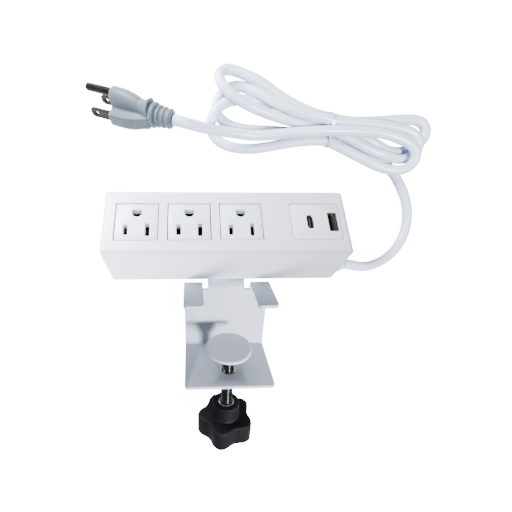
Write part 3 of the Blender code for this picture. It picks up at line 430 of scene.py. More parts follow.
# The cord's way in millimetres over the floor: three turns round the hank, each run ending where the tie is.
TO_HANK = [(92, 38, 19.8), (100.5, 37, 13.6), (108.5, 38, 8.6), (118, 40.5, 5), (126, 46, 3.6), (131.5, 53.5, 3.4),
           (135, 62.5, 3.4), (135.5, 71.5, 3.4), (134.5, 80.5, 3.4), (131.5, 88.5, 3.4), (127, 96.5, 3.4),
           (120.5, 105.5, 3.4), (111.5, 114.5, 3.4), (100.5, 120.5, 3.4), (87.5, 125, 3.3), (71.5, 126.5, 3.3)]
LEFT_THIRD = [(61.5, 128, 3.4), (39.5, 130, 3.4), (19.5, 130, 3.4), (10, 131, 3.4), (2, 133, 3.4), (-4, 138, 3.4),
              (-7, 143, 3.4), (-6, 148, 3.4), (-2, 153.5, 3.4), (3, 157.5, 3.4), (8.5, 160.5, 3.4), (13.5, 158.5, 5),
              (21.5, 154, 7), (31.5, 148, 9), (44.5, 141, 11), (57.5, 136.5, 13.5), (71.5, 133.5, 14.7)]
RIGHT_THIRD = [(84.5, 132.3, 14), (98, 132.2, 13), (113, 131.7, 11), (124, 130.2, 11), (133.4, 127, 11),
               (137.6, 121.6, 10), (136.8, 115.6, 8.5), (131.2, 111.2, 6), (123.5, 110.2, 4.5), (117.5, 111.4, 4),
               (107.5, 113.8, 5), (96.5, 119, 7), (83.5, 125, 9), (71.5, 130, 9)]
LEFT_FIRST = [(52.5, 133, 9), (38.5, 136.5, 9), (25.5, 139.5, 11), (13.5, 143, 14), (4.6, 147, 16),
              (-1.6, 153, 15.5), (-5.4, 159.4, 13.5), (-4.2, 165.2, 11), (2.8, 167.4, 9.3), (10.5, 165.2, 8.5),
              (18.5, 160, 9), (28.5, 154, 9), (34.5, 150.5, 9), (44.5, 145, 9), (58.5, 139.5, 9), (71.5, 136.5, 9)]
RIGHT_FIRST = [(86, 134.8, 8), (101, 135.8, 6), (116, 137.4, 5), (131, 138.7, 5), (140.4, 138.8, 4.2),
               (145.2, 134.2, 3.6), (145.0, 126.2, 3.4), (139.2, 120.4, 3.4), (131, 117.3, 3.4), (122.5, 115.5, 3.4),
               (114.5, 116, 3.4), (104.5, 119.5, 3.4), (89.5, 126.8, 3.4), (71.5, 133.5, 3.3)]
LEFT_SECOND = [(59.5, 139, 3.4), (49.5, 143, 3.4), (39.5, 147, 3.4), (27.5, 150, 3.4), (15.5, 150, 5), (5, 148, 8),
               (-2, 145, 9.9), (-6.5, 140, 9.9), (-10, 134.5, 8), (-9, 126.5, 4), (-3, 121.5, 3.6), (6, 118.5, 3.4),
               (17, 117.5, 3.4), (28, 118.5, 4), (43.5, 121.5, 6), (59.5, 123, 8), (71.5, 123.5, 9)]
RIGHT_SECOND = [(81.5, 117.6, 9), (90.5, 113.8, 9), (99.5, 109.2, 9.5), (108.5, 104.6, 10), (117.5, 102.2, 10.5),
                (125.8, 102, 10.5), (132.3, 105.8, 11.5), (133.8, 113, 13.5), (128.8, 119.4, 15), (118, 122.8, 15),
                (110, 125.6, 15), (98.5, 127.2, 15), (87.5, 127.5, 15), (71.5, 127, 15.4)]
TO_PLUG = [(51.5, 126.5, 14), (36.5, 125.5, 11), (21, 124.5, 10), (4.7, 125.8, 13.5), (-9.3, 125.6, 19)]
CORD_STEP = 2.6 * MM
TIE_X = 71.5 * MM


def cord_route():
    """The cord's centreline, leaving the gland and entering the strain relief along their axes."""
    straight = EXIT + Vector((3.5 * MM, 0, -0.4 * MM))
    back, before = (PLUG @ (Vector((0, PLUG_AXIS_RISE, -(PLUG_LENGTH + RELIEF_LENGTH + gap))) * MM)
                    for gap in (0.6, 5))
    strands = [TO_HANK, LEFT_THIRD, RIGHT_THIRD, LEFT_FIRST, RIGHT_FIRST, LEFT_SECOND, RIGHT_SECOND, TO_PLUG]
    points = [Vector(p) * MM for strand in strands for p in strand]
    return smooth_path([EXIT, straight, *points, before, back], CORD_STEP)


SETTLE_ROUNDS, LAST_ROUNDS = 160, 4
HELD_POINTS, FREED_OVER = 3, 6
SAME_STRAND = 14 * MM
PUSH, PUSH_UP, PUSH_ASIDE = 0.35, 1.6, 0.45
EVEN_OUT, PULL_BACK, LAST_EVEN_OUT = 0.30, 0.03, 0.45
FLOOR_GAP = 0.05 * MM


def to_neighbours(line):
    """From each inner point to the middle of its two neighbours."""
    return (line[:-2] + line[2:]) / 2 - line[1:-1]


def settled(route):
    """Pushes strands that overlap apart, keeps them above the floor and smooths their bends."""
    line = np.array([list(p) for p in route])
    start = line.copy()
    count = len(line)
    wide = 2 * CORD_RADIUS * 1.01
    index = np.arange(count)
    apart = np.abs(index[:, None] - index[None, :]) * CORD_STEP > SAME_STRAND
    held = np.minimum(index, count - 1 - index)
    free = np.clip((held - HELD_POINTS) / FREED_OVER, 0, 1)[:, None]
    for _ in range(SETTLE_ROUNDS):
        gap = line[:, None, :] - line[None, :, :]
        far = np.linalg.norm(gap, axis=2)
        close = apart & (far < wide)
        push = np.where(close, (wide - far) * PUSH, 0.0)
        way = gap / np.maximum(far, 1e-6)[..., None]
        way[..., 2] *= PUSH_UP
        way[..., :2] *= PUSH_ASIDE
        move = (way * push[..., None]).sum(1) / np.maximum(close.sum(1), 1)[:, None]
        smooth = np.zeros_like(line)
        smooth[1:-1] = to_neighbours(line)
        line += free * (move + EVEN_OUT * smooth + PULL_BACK * (start - line))
        line[:, 2] = np.maximum(line[:, 2], CORD_RADIUS + FLOOR_GAP)
        line[:HELD_POINTS + 1] = start[:HELD_POINTS + 1]
        line[-HELD_POINTS:] = start[-HELD_POINTS:]
    for _ in range(LAST_ROUNDS):
        line[1:-1] += LAST_EVEN_OUT * to_neighbours(line)
    return [Vector(p) for p in line]


def build_cord():
    line = settled(cord_route())
    curve = bpy.data.curves.new("power_cord", 'CURVE')
    curve.dimensions = '3D'
    curve.bevel_depth = CORD_RADIUS
    curve.bevel_resolution = 7
    curve.use_fill_caps = True
    spline = curve.splines.new('POLY')
    spline.points.add(len(line) - 1)
    for point, place in zip(spline.points, line):
        point.co = (*place, 1)
    spline.use_smooth = True
    curve.materials.append(CORD)
    item = bpy.data.objects.new("power_cord", curve)
    bpy.context.scene.collection.objects.link(item)
    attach(item, "strip")
    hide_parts("cord_to_hank", "cord_hank", "cord_to_plug")
    length = sum((b - a).length for a, b in zip(line, line[1:]))
    return item, line, length


POWER_CORD, CORD_LINE, CORD_LENGTH = build_cord()


def convex_hull(points):
    """The corners of the hull of some (x, y) pairs, in order."""
    points = sorted(set(points))
    hull = []
    for sweep in (points, points[::-1]):
        side = []
        for p in sweep:
            while len(side) > 1 and ((side[-1][0] - side[-2][0]) * (p[1] - side[-2][1])
                                     - (side[-1][1] - side[-2][1]) * (p[0] - side[-2][0])) <= 0:
                side.pop()
            side.append(p)
        hull += side[:-1]
    return hull


TIE_Y, TIE_SPAN = 130 * MM, 20 * MM
TIE_HALF_WIDTH, TIE_THICKNESS, TIE_SLACK = 0.9 * MM, 0.3 * MM, 0.12 * MM
TIE_INNER_FLOOR, TIE_OUTER_FLOOR = 0.2 * MM, 0.1 * MM


def build_tie():
    """A thin strap pulled round the strands where they pass the tie, except the topmost one."""
    centres = []
    for a, b in zip(CORD_LINE, CORD_LINE[1:]):
        if (a.x - TIE_X) * (b.x - TIE_X) <= 0 and abs(a.y - TIE_Y) < TIE_SPAN:
            centres.append(a.lerp(b, (TIE_X - a.x) / (b.x - a.x)))
    inner = CORD_RADIUS + TIE_SLACK
    ring = []
    held = sorted(centres, key=lambda point: point.z)[:-1]
    for centre in held:
        for step in range(24):
            angle = 2 * math.pi * step / 24
            ring.append((round(centre.y + inner * math.cos(angle), 7),
                         round(max(centre.z + inner * math.sin(angle), TIE_INNER_FLOOR), 7)))
    hull = convex_hull(ring)
    centre_y = sum(p[0] for p in hull) / len(hull)
    centre_z = sum(p[1] for p in hull) / len(hull)
    half, thick = TIE_HALF_WIDTH, TIE_THICKNESS

    def build(bm):
        rows = []
        for x, grow in ((-half, 0), (-half, thick), (half, thick), (half, 0)):
            row = []
            for y, z in hull:
                out = Vector((y - centre_y, z - centre_z)).normalized() * grow
                row.append(bm.verts.new((TIE_X + x, y + out.x, max(z + out.y, TIE_OUTER_FLOOR))))
            rows.append(row)
        for a, b in zip(rows, rows[1:] + rows[:1]):
            for i in range(len(hull)):
                j = (i + 1) % len(hull)
                bm.faces.new((a[i], a[j], b[j], b[i]))
        bmesh.ops.recalc_face_normals(bm, faces=bm.faces)
    return piece("cable_tie_strap", mesh_from(build), Matrix(), TIE_FILM, "strip", ["cable_tie"], 50)


TIE = build_tie()


# ---------------------------------------------------------------- housing

# All in the face's axes and in millimetres: X along the face, Y up it, Z out of it.
PANEL_LOW, PANEL_HIGH = 8.5, 34.7
OUTLET_WIDTH, OUTLET_GAP, OUTLET_FRONT, PLATE_BACK = 26.0, 0.6, -0.35, -4.6
OUTLETS = [-53.5, -22.5, 8.5]
USB_LEFT, USB_RIGHT, USB_GAP, USB_FRONT = 38.3, 69.3, 0.4, -0.2
USB_MIDDLE, USB_C_X, USB_A_X = 21.5, 50.3, 64.3
SLOT_LEVEL, SLOT_HALF, SHORT_SLOT, TALL_SLOT = 16.1, 1.4, 7.1, 8.7
GROUND_HALF, GROUND_FLAT = 3.0, 2.2
COVER_SCREWS = [(x, v) for x in (-38.0, 30.0) for v in (5.3, 38.4)]
POST_RADIUS, SCREW_BORE, RECESS_RADIUS, RECESS_DEPTH = 2.2, 1.45, 2.9, 1.6
BRACKET_SCREWS, BOLT_X, BOLT_BORE = [13.0, 26.0], 1.5, 2.3
SEAM = 0.25
FAR = 60


def housing_block():
    half = LENGTH / 2
    return bevelled(box_mesh((-half, half, 0, HEIGHT, -DEPTH, 0)), EDGE, 8)


def build_housing():
    half = LENGTH / 2 - WALL
    front = cut(housing_block(), box_mesh((-half, half, WALL, FAR, -FAR, -WALL)))
    windows = box_mesh(*[(c - OUTLET_WIDTH / 2, c + OUTLET_WIDTH / 2, PANEL_LOW, PANEL_HIGH, -6, 1)
                         for c in OUTLETS])
    usb = outline_mesh([rounded_rectangle(USB_LEFT, USB_RIGHT, PANEL_LOW, PANEL_HIGH, 2.5)], -6, 1)
    gland_room = 0.8
    gland = rod_mesh((0, 0, CORD_RADIUS / MM + gland_room, -10, 10))
    gland.transform(along_x(LENGTH / 2, EXIT_V, EXIT_Z))
    posts = rod_mesh(*[(x, v, POST_RADIUS, -DEPTH + REAR_WALL + REST_GAP, -WALL / 2) for x, v in COVER_SCREWS])
    bores = rod_mesh(*[(x, v, SCREW_BORE, -FAR, -20) for x, v in COVER_SCREWS])
    front = cut(front, windows, usb, gland)
    front = cut(cut(front, posts, operation='UNION'), bores)
    piece("housing_front", front, FACE, WHITE, "strip", ["front_cover"], 25)
    inset = WALL + SEAM
    rear = cut(housing_block(), box_mesh((-half + SEAM, half - SEAM, inset, FAR, -FAR, -inset)),
               operation='INTERSECT')
    hollow = box_mesh((-2 * FAR, 2 * FAR, -FAR, HEIGHT - WALL - REST_GAP, -DEPTH + REAR_WALL, FAR))
    holes = rod_mesh(*[(x, v, SCREW_BORE, -FAR, -30) for x, v in COVER_SCREWS],
                     *[(BOLT_X, v, BOLT_BORE, -FAR, -30) for v in BRACKET_SCREWS])
    recesses = rod_mesh(*[(x, v, RECESS_RADIUS, -FAR, -DEPTH + RECESS_DEPTH) for x, v in COVER_SCREWS])
    rear = cut(rear, hollow, holes, recesses)
    piece("housing_rear", rear, FACE, WHITE, "strip", ["rear_cover"], 25)


def d_hole(centre, half):
    """Ground hole: flat at the top, round at the bottom."""
    level = SLOT_LEVEL + GROUND_RISE
    points = [(centre + half, level + GROUND_FLAT), (centre - half, level + GROUND_FLAT)]
    steps = 16
    for step in range(steps + 1):
        angle = math.pi + math.pi * step / steps
        points.append((centre + half * math.cos(angle), level + half * math.sin(angle)))
    return points


def build_outlets():
    for index, centre in enumerate(OUTLETS, 1):
        half = OUTLET_WIDTH / 2 - OUTLET_GAP
        low, high = PANEL_LOW + OUTLET_GAP, PANEL_HIGH - OUTLET_GAP
        plate = bevelled(box_mesh((centre - half, centre + half, low, high, PLATE_BACK, OUTLET_FRONT)), 0.3, 2)
        flange = box_mesh((centre - half + 1, centre + half - 1, low - 1.9, high + 1.9, PLATE_BACK, -WALL - 0.3))
        plate = cut(plate, flange, operation='UNION')
        slots = []
        for side, tall in ((-1, SHORT_SLOT), (1, TALL_SLOT)):
            x = centre + side * BLADE_OFFSET
            slots.append((x - SLOT_HALF, x + SLOT_HALF, SLOT_LEVEL - tall / 2, SLOT_LEVEL + tall / 2, -9, 1))
        plate = cut(plate, box_mesh(*slots), outline_mesh([d_hole(centre, GROUND_HALF)], -9, 1))
        piece(f"outlet_insert_{index}", plate, FACE, INSERT, "strip",
              [f"outlet_face_{index}"], 30)


def build_usb():
    low, high = PANEL_LOW + USB_GAP, PANEL_HIGH - USB_GAP
    left, right = USB_LEFT + USB_GAP, USB_RIGHT - USB_GAP
    plate = outline_mesh([rounded_rectangle(left, right, low, high, 2.2)], PLATE_BACK, USB_FRONT)
    plate = bevelled(plate, 0.3, 2, 50)
    flange = box_mesh((left + 2, right - 2, low - 2, high + 2, PLATE_BACK, -WALL - 0.3))
    plate = cut(plate, flange, operation='UNION')

    def hole(x, half_width, half_height, *corner):
        return outline_mesh([rounded_rectangle(x - half_width, x + half_width, USB_MIDDLE - half_height,
                                               USB_MIDDLE + half_height, *corner)], -9, 1)

    c_hole, a_hole = hole(USB_C_X, 2.15, 4.95, 2.14), hole(USB_A_X, 3.1, 6.8, 0.3, 2)
    plate = cut(plate, c_hole, a_hole)
    piece("usb_panel", plate, FACE, INSERT, "strip", ["usb_bezel"], 30)


build_housing()
build_outlets()
build_usb()


# ---------------------------------------------------------------- clamp

SHEET, BEND, BACK_BEND, CORNER = 2.0, 1.5, 3.5, 2.5
PLATE_EDGE, PLATE_RUN, WEB_TOP, ARM_RISE, ARM_RUN = -44.5, 43.0, 44.2, 2.3, 31.0
SCREW_HOLE = 5.5


def build_bracket():
    """One sheet: plate, bend and web, then two arms folded forward and a tongue folded along the face."""
    steps = 8
    half, prong, notch = 28.0, 12.0, 3.8
    inner = half - prong
    tongue = inner - notch
    stations = [-half, -inner, -tongue, tongue, inner, half]

    def arc(start, centre, turn):
        walked, place = [], start
        for _ in range(steps):
            spoke = place - centre
            spoke.rotate(Matrix.Rotation(turn / steps, 3, 'X'))
            walked.append(centre + spoke - place)
            place = centre + spoke
        return walked, place

    def grow(bm, edges, offsets):
        for offset in offsets:
            grown = bmesh.ops.extrude_edge_only(bm, edges=edges)["geom"]
            corners = [item for item in grown if isinstance(item, bmesh.types.BMVert)]
            edges = [item for item in grown if isinstance(item, bmesh.types.BMEdge)]
            bmesh.ops.translate(bm, verts=corners, vec=offset)
        return edges

    def build(bm):
        row = [bm.verts.new((x * MM, PLATE_EDGE * MM, 0)) for x in stations]
        edges = [bm.edges.new(pair) for pair in zip(row, row[1:])]
        r = BEND * MM
        bend, place = arc(Vector((0, -r, 0)), Vector((0, -r, r)), math.pi / 2)
        path = [Vector((0, PLATE_RUN * MM, 0)), *bend, Vector((0, 0, WEB_TOP * MM - place.z))]
        top = sorted(grow(bm, edges, path), key=lambda e: e.verts[0].co.x + e.verts[1].co.x)
        fold, _ = arc(Vector((0, 0, 0)), Vector((0, -r, 0)), math.pi / 2)
        for arm in (top[0], top[4]):
            grow(bm, [arm], [Vector((0, 0, ARM_RISE * MM)), *fold, Vector((0, -ARM_RUN * MM, 0))])
        back, _ = arc(Vector((0, 0, 0)), Vector((0, BACK_BEND * MM, 0)), FACE_TILT - math.pi / 2)
        grow(bm, [top[2]], [*back, Vector((0, math.cos(FACE_TILT), math.sin(FACE_TILT))) * ARM_RUN * MM])
        tips = [v for v in bm.verts if len(v.link_edges) == 2 and abs(v.co.z - WEB_TOP * MM) > 1e-6]
        bmesh.ops.bevel(bm, geom=tips, offset=CORNER * MM, segments=8, affect='VERTICES', profile=0.5)
        bmesh.ops.recalc_face_normals(bm, faces=bm.faces)

    def thicken(holder):
        sheet = holder.modifiers.new("sheet", 'SOLIDIFY')
        sheet.thickness = SHEET * MM
        sheet.offset = -1.0

    mesh = evaluated(mesh_from(build), thicken)
    bolts = rod_mesh(*[(BOLT_X, v, BOLT_BORE, -FAR, -30) for v in BRACKET_SCREWS])
    bolts.transform(CLAMP.inverted() @ FACE)
    mesh = cut(mesh, rod_mesh((0, -SCREW_REACH, SCREW_HOLE, -10, 10), sides=48), bolts)
    mesh = bevelled(mesh, 0.25, 2, 50)
    piece("clamp_sheet", mesh, CLAMP, COAT, "strip", ["clamp_bracket"], 30)


def thread_mesh(radius, depth, pitch, low, high):
    """A threaded rod about Z, in millimetres, with plain chamfered ends."""
    sides = 40
    turns = int((high - low) / pitch) + 3
    profile = [0.0, 0.25, 0.85, 1.0, 0.75, 0.2]
    rows = len(profile)

    def build(bm):
        rings = []
        for k in range(turns * rows):
            ring = []
            for i in range(sides):
                z = low - 1.5 * pitch + pitch * (k / rows + i / sides)
                r = radius - depth * profile[k % rows]
                held = min(max(z, low), high)
                end = min(held - low, high - held)
                r = min(r, radius - depth * 1.05 + end)
                ring.append(bm.verts.new((r * MM * math.cos(2 * math.pi * i / sides),
                                          r * MM * math.sin(2 * math.pi * i / sides), held * MM)))
            rings.append(ring)
        for a, b in zip(rings, rings[1:]):
            for i in range(sides - 1):
                bm.faces.new((a[i], a[i + 1], b[i + 1], b[i]))
        # The last side meets the first one a whole pitch further up.
        for a, b, c, d in zip(rings, rings[1:], rings[rows:], rings[rows + 1:]):
            bm.faces.new((a[-1], c[0], d[0], b[-1]))
        bmesh.ops.remove_doubles(bm, verts=bm.verts, dist=1e-7)
        bmesh.ops.dissolve_degenerate(bm, edges=bm.edges, dist=1e-7)
        loose = [e for e in bm.edges if e.is_boundary]
        bmesh.ops.holes_fill(bm, edges=loose, sides=0)
        bmesh.ops.recalc_face_normals(bm, faces=bm.faces)
    return mesh_from(build)


SCREW_RADIUS, THREAD_DEPTH, THREAD_PITCH = 4.0, 0.61, 1.25
THREAD_LOW, THREAD_HIGH = -50.5, 9.7


def build_screw():
    rod = thread_mesh(SCREW_RADIUS, THREAD_DEPTH, THREAD_PITCH, THREAD_LOW, THREAD_HIGH)
    piece("screw_thread", rod, SCREW, THREAD, "screw", ["clamp_screw"], 28)
    neck = turned_mesh([(0, 15.8), (1.0, 15.77), (2.0, 15.55), (2.7, 15.25), (3.0, 14.8), (3.0, 13.7),
                        (1.8, 13.7), (1.8, 12.3), (3.0, 12.3), (3.0, 9.4), (0, 9.4)], 48)
    piece("screw_neck", neck, SCREW, THREAD, "screw", smooth=35)
    nut = turned_mesh([(4.3, 0.15), (4.6, 0.3), (5.0, 0.3), (5.2, 0.1), (5.2, -2.3), (7.2, -2.3), (7.5, -2.6),
                       (7.5, -5.0), (7.2, -5.3), (4.6, -5.3), (4.3, -5.0)], 64, closed=True)
    piece("threaded_insert", nut, SCREW, ZINC, "strip", ["clamp_nut"], 35)


KNOB_LOBES, KNOB_TURN, LOBE_DIP, KNOB_RADIUS = 5, math.radians(106), 2.1, 19.7
KNOB_TOP, KNOB_LOW, HUB_TOP = -39.5, -55.5, -28.1


def lobe_outline(radius):
    points = []
    count = 180
    for index in range(count):
        angle = 2 * math.pi * index / count
        lobe = math.cos(KNOB_LOBES * (angle + KNOB_TURN))
        reach = radius - LOBE_DIP * (1 - lobe)
        points.append((reach * math.cos(angle), reach * math.sin(angle)))
    return points


def build_knob():
    top, low, hub_top = KNOB_TOP, KNOB_LOW, HUB_TOP
    shell = bevelled(outline_mesh([lobe_outline(KNOB_RADIUS)], low, top), 1.5, 5, 50)
    boss = turned_mesh([(0, hub_top), (8.0, hub_top), (8.6, hub_top - 0.15), (9.0, hub_top - 0.55),
                        (9.2, hub_top - 1.2), (9.3, top + 1.6), (9.6, top + 0.7), (10.3, top - 0.2),
                        (10.3, top - 4), (0, top - 4)], 96)
    shell = cut(shell, boss, operation='UNION')
    shell = cut(shell, rod_mesh((0, 0, 5.7, low + 3, 0), sides=64))
    piece("knob_grip", shell, SCREW, BLACK, "screw", ["knob"], 30)
    bush_top = hub_top + 0.3
    bush = turned_mesh([(4.15, bush_top - 0.7), (4.5, bush_top - 0.15), (4.7, bush_top), (4.9, bush_top - 0.2),
                        (4.9, bush_top - 0.5), (5.4, bush_top - 0.5),
                        (5.4, low + 3.3), (4.15, low + 3.3)], 64, closed=True)
    piece("knob_bush", bush, SCREW, ZINC, "screw", ["knob_insert"], 35)


def build_pad():
    disc = turned_mesh([(0, 2.35), (12.7, 2.35), (13.8, 2.3), (14.2, 2.05), (14.4, 1.6), (14.4, 0.9),
                        (14.2, 0.55), (13.8, 0.4), (0, 0.4)], 128)
    piece("pad_disc", disc, PAD, PAD_COAT, "pad", ["pressure_pad"], 40)
    cup = turned_mesh([(4.7, 0.1), (5.7, 0.1), (6.0, -0.2), (6.0, -4.4), (5.2, -5.4), (3.7, -5.4), (3.7, -3.9),
                       (4.7, -3.9)], 64, closed=True)
    piece("pad_cup", cup, PAD, ZINC, "pad", ["pad_socket"], 35)


build_bracket()
build_screw()
build_knob()
build_pad()


# ---------------------------------------------------------------- plug

BLADE_HALF_WIDTH, BLADE_HALF_THICKNESS, BLADE_TIP, BLADE_CLIP = 3.1, 0.75, 15.9, 1.3
BLADE_HOLE_RADIUS, BLADE_HOLE_LEVEL = 1.15, 11.4
PIN_RADIUS, PIN_TIP, PIN_NOSE = 2.35, 18.8, 2.0
PIN_ROOT, PIN_ROOM = -7.0, 0.3
PLUG_RINGS = [
    # depth, half width, bottom, shoulder, hump radius, top
    (0.0, 9.9, -3.0, 4.2, 4.2, 14.6), (-0.5, 10.4, -3.5, 4.6, 4.6, 15.1), (-1.6, 10.6, -3.7, 4.8, 4.8, 15.4),
    (-6.0, 10.7, -3.8, 4.8, 4.9, 15.3), (-10.5, 10.6, -3.8, 4.8, 4.9, 14.7), (-14.5, 10.2, -3.8, 4.7, 4.8, 13.5),
    (-17.5, 9.4, -3.9, 4.6, 4.6, 12.2), (-20.0, 8.2, -3.7, 4.3, 4.5, 10.6), (-22.5, 7.3, -3.6, 4.3, 4.9, 9.8),
    (-24.2, 6.8, -3.6, 4.6, 5.3, 9.4), (-25.5, 6.6, -3.6, 5.0, 5.7, 9.4)]


def plug_section(half, bottom, shoulder, hump, top):
    """One ring of the plug: a flat block with a round hump over it for the ground pin."""
    valley = shoulder + 0.2
    side = [(0, bottom), (half * 0.45, bottom), (half - 1.6, bottom), (half - 0.3, bottom + 0.3),
            (half, bottom + 1.6), (half, 0), (half, shoulder - 1.3), (half - 0.25, shoulder - 0.25),
            (half - 1.3, shoulder), (min(hump + 1.4, half - 1.5), valley), (hump + 0.3, valley + 0.5),
            (hump, valley + 1.6)]
    for step in range(7):
        angle = math.pi / 2 * step / 6
        side.append((hump * math.cos(angle), max(top - hump, valley + 2) + hump * math.sin(angle)))
    ring = side + [(-x, y) for x, y in reversed(side[1:-1])]
    for _ in range(2):
        ring = [(a[0] + (b[0] - a[0]) * t, a[1] + (b[1] - a[1]) * t)
                for a, b in zip(ring, ring[1:] + ring[:1]) for t in (0.25, 0.75)]
    return ring


def loft_mesh(rings):
    """A closed skin over rings that have the same number of points."""
    def build(bm):
        rows = [[bm.verts.new(p) for p in ring] for ring in rings]
        for a, b in zip(rows, rows[1:]):
            for i in range(len(a)):
                j = (i + 1) % len(a)
                bm.faces.new((a[i], a[j], b[j], b[i]))
        bm.faces.new(rows[0])
        bm.faces.new(rows[-1][::-1])
        bmesh.ops.recalc_face_normals(bm, faces=bm.faces)
    return mesh_from(build)


def between(rows, steps):
    """Rows of numbers with more rows on a Catmull-Rom curve between each pair."""
    rows = [np.array(row) for row in rows]
    knots = ends_added(rows)
    made = [catmull_rom(a, b, c, d, step / steps)
            for a, b, c, d in zip(knots, knots[1:], knots[2:], knots[3:]) for step in range(steps)]
    return made + [rows[-1]]


def blade_mesh(x):
    """A flat blade with clipped corners and a hole near its tip."""
    wide, tip, root, clip = BLADE_HALF_WIDTH, BLADE_TIP, PIN_ROOT, BLADE_CLIP
    edge = [(wide, root), (wide, tip - clip * 1.4), (wide - clip, tip), (clip - wide, tip),
            (-wide, tip - clip * 1.4), (-wide, root)]
    hole = [(BLADE_HOLE_RADIUS * math.cos(math.pi * k / 12),
             BLADE_HOLE_LEVEL + BLADE_HOLE_RADIUS * math.sin(math.pi * k / 12)) for k in range(24)]
    blade = bevelled(outline_mesh([edge, hole], -BLADE_HALF_THICKNESS, BLADE_HALF_THICKNESS), 0.25, 2)
    # The outline goes to Y and Z, and the thickness to X.
    blade.transform(Matrix.Translation((x * MM, 0, 0)) @ Matrix(((0, 0, 1, 0), (1, 0, 0, 0), (0, 1, 0, 0),
                                                                 (0, 0, 0, 1))))
    return blade


def relief_profile():
    """The strain relief as (radius, height): a collar, three ribs and a plain end."""
    start = -PLUG_LENGTH - 0.05
    points = [(0, start), (6.3, start), (6.6, start - 0.8), (7.1, start - 1.5), (7.4, start - 2.2),
              (7.4, start - 2.8), (7.0, start - 3.4), (6.2, start - 3.8), (5.4, start - 4.0)]
    for rib in range(3):
        top = start - (4.0 + 3.5 * rib)
        reach = 6.4 - 0.35 * rib
        points += [(4.9, top - 0.1), (4.8, top - 0.5), (5.1, top - 0.9), (reach - 0.35, top - 1.2),
                   (reach, top - 1.6), (reach, top - 2.5), (reach - 0.35, top - 2.9), (5.1, top - 3.2)]
    return points + [(4.5, start - 14.6), (4.1, start - RELIEF_LENGTH), (0, start - RELIEF_LENGTH)]


def build_plug():
    rings = [[Vector((x, y, row[0])) * MM for x, y in plug_section(*row[1:])] for row in between(PLUG_RINGS, 3)]
    body = loft_mesh(rings)
    root, room = PIN_ROOT, PIN_ROOM
    thick, wide = BLADE_HALF_THICKNESS, BLADE_HALF_WIDTH
    pockets = box_mesh(*[(side * BLADE_OFFSET - thick - room, side * BLADE_OFFSET + thick + room, -wide - room,
                          wide + room, root - room, 5) for side in (-1, 1)])
    body = cut(body, pockets, rod_mesh((0, GROUND_RISE, PIN_RADIUS + room, root - room, 5)))
    piece("plug_shell", body, PLUG, PLUG_PVC, "strip", ["plug_body"], 35)
    relief = turned_mesh(relief_profile(), 64)
    relief.transform(Matrix.Translation((0, PLUG_AXIS_RISE * MM, 0)))
    piece("plug_relief", relief, PLUG, PLUG_PVC, "strip", ["plug_strain_relief"], 35)
    for name, node, side in (("plug_blade_line", "plug_line_blade", -1),
                             ("plug_blade_neutral", "plug_neutral_blade", 1)):
        piece(name, blade_mesh(side * BLADE_OFFSET), PLUG, SHADED_PIN, "strip", [node], 35)
    tip = [(PIN_RADIUS * math.sin(math.pi / 16 * k), PIN_TIP - PIN_NOSE * (1 - math.cos(math.pi / 16 * k)))
           for k in range(9)]
    pin = turned_mesh(tip + [(PIN_RADIUS, root), (0, root)], 48)
    pin.transform(Matrix.Translation((0, GROUND_RISE * MM, 0)))
    piece("plug_earth_pin", pin, PLUG, SHADED_PIN, "strip", ["plug_ground_pin"], 35)


build_plug()


# ---------------------------------------------------------------- CAD nodes shown as they are

CARRIED = {
    "contact_backing_plate": BOARD, "usb_circuit_board": GREEN, "usb_transformer": DARK,
    "usb_capacitor_1": DARK, "usb_capacitor_2": DARK, "usb_controller_chip": DARK, "line_wire": LINE_COVER,
    "neutral_wire": NEUTRAL_COVER, "ground_wire": GROUND_COVER, "nut_plate": STEEL, "retaining_ring": THREAD,
    "line_bus_bar": BRASS, "neutral_bus_bar": BRASS, "ground_bus_bar": BRASS, "usb_c_tongue": DARK,
    "usb_a_tongue": AMBER_SHADED, "usb_c_shell": DARK_SHELL, "usb_a_shell": STEEL, "cord_gland": CORD,
    **{f"outlet_base_{i}": DARK for i in (1, 2, 3)},
    **{f"cover_screw_{i}": STEEL for i in (1, 2, 3, 4)},
    **{f"bracket_screw_{i}": STEEL for i in (1, 2)},
}
for node, look in CARRIED.items():
    NODES[node].data.materials.clear()
    NODES[node].data.materials.append(look)


# ---------------------------------------------------------------- studio

HOUSING_PIECES = ["housing_front", "housing_rear", "usb_panel", *(f"outlet_insert_{i}" for i in (1, 2, 3))]
PLUG_PIECES = ["plug_shell", "plug_relief", "plug_blade_line", "plug_blade_neutral", "plug_earth_pin"]
LIGHT_COLOUR = (0.93, 0.96, 1.0)
GLOW = 15.0


def receivers(name, pieces, state):
    """A collection that says which pieces a light reaches, or leaves out."""
    chosen = bpy.data.collections.new(name + "_linking")
    for piece_name in pieces:
        chosen.objects.link(bpy.data.objects[piece_name])
    for entry in chosen.collection_objects:
        entry.light_linking.link_state = state
    return chosen


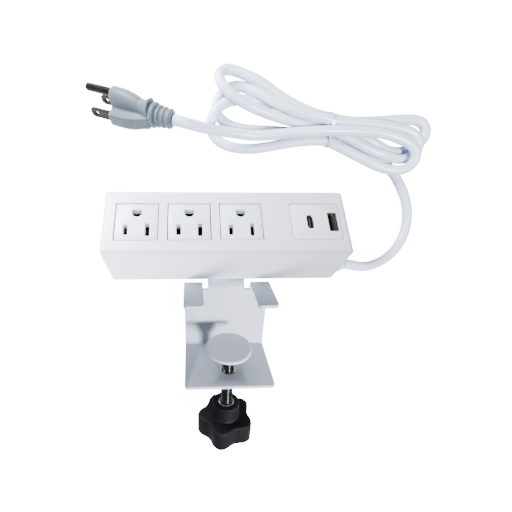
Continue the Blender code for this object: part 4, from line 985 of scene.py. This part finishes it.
def add_light(name, size, power, place, target, leaves=(), only=()):
    """A soft light that the camera doesn't see; it leaves out some pieces, or reaches only some."""
    data = bpy.data.lights.new(name, 'AREA')
    data.shape = 'RECTANGLE'
    data.size, data.size_y = size
    data.energy = power
    data.color = LIGHT_COLOUR
    item = bpy.data.objects.new(name, data)
    bpy.context.scene.collection.objects.link(item)
    item.location = place
    item.rotation_euler = (Vector(target) - Vector(place)).to_track_quat('-Z', 'Y').to_euler()
    item.visible_camera = False
    if leaves or only:
        item.light_linking.receiver_collection = receivers(name, leaves or only, 'EXCLUDE' if leaves else 'INCLUDE')


def build_studio():
    bm = bmesh.new()
    bmesh.ops.create_grid(bm, x_segments=1, y_segments=1, size=3.0)
    mesh = bpy.data.meshes.new("floor")
    bm.to_mesh(mesh)
    bm.free()
    paper = surface("floor_white", (0.40, 0.40, 0.40), 0.9, tint=0.004, tint_size=3, grain=300, bump=0.0)
    glow = paper.node_tree.nodes["Principled BSDF"]
    glow.inputs["Emission Color"].default_value = (1.0, 1.0, 1.0, 1)
    glow.inputs["Emission Strength"].default_value = GLOW
    mesh.materials.append(paper)
    item = bpy.data.objects.new("floor", mesh)
    bpy.context.scene.collection.objects.link(item)
    item.location = (0, 0, -0.0004)
    # The floor's glow whitens the floor and lights nothing else.
    item.light_linking.receiver_collection = receivers("floor", ["floor"], 'INCLUDE')
    world = bpy.data.worlds.new("studio")
    world.use_nodes = True
    world.node_tree.nodes["Background"].inputs["Color"].default_value = (0.86, 0.92, 1.0, 1)
    world.node_tree.nodes["Background"].inputs["Strength"].default_value = 0.25
    bpy.context.scene.world = world
    add_light("key", (0.13, 0.13), 28.0, (0.36, -0.27, 0.74), (0.0, 0.03, 0.02),
              leaves=HOUSING_PIECES + PLUG_PIECES)
    add_light("upper_left", (0.16, 0.12), 7.0, (-0.20, 0.30, 0.13), (-0.05, 0.05, 0.04),
              leaves=["clamp_sheet", "pad_disc", *PLUG_PIECES])
    add_light("lower_left", (0.16, 0.16), 3.2, (-0.20, -0.11, 0.13), (-0.05, 0.03, 0.04),
              only=HOUSING_PIECES)
    add_light("edge_strip", (0.60, 0.05), 4.5, (0.0, -0.36, 0.60), (0.0, 0.03, 0.05),
              only=HOUSING_PIECES)
    add_light("plug_top", (0.12, 0.12), 2.4, (-0.13, 0.30, 0.24), (-0.05, 0.13, 0.02),
              only=PLUG_PIECES)


build_studio()
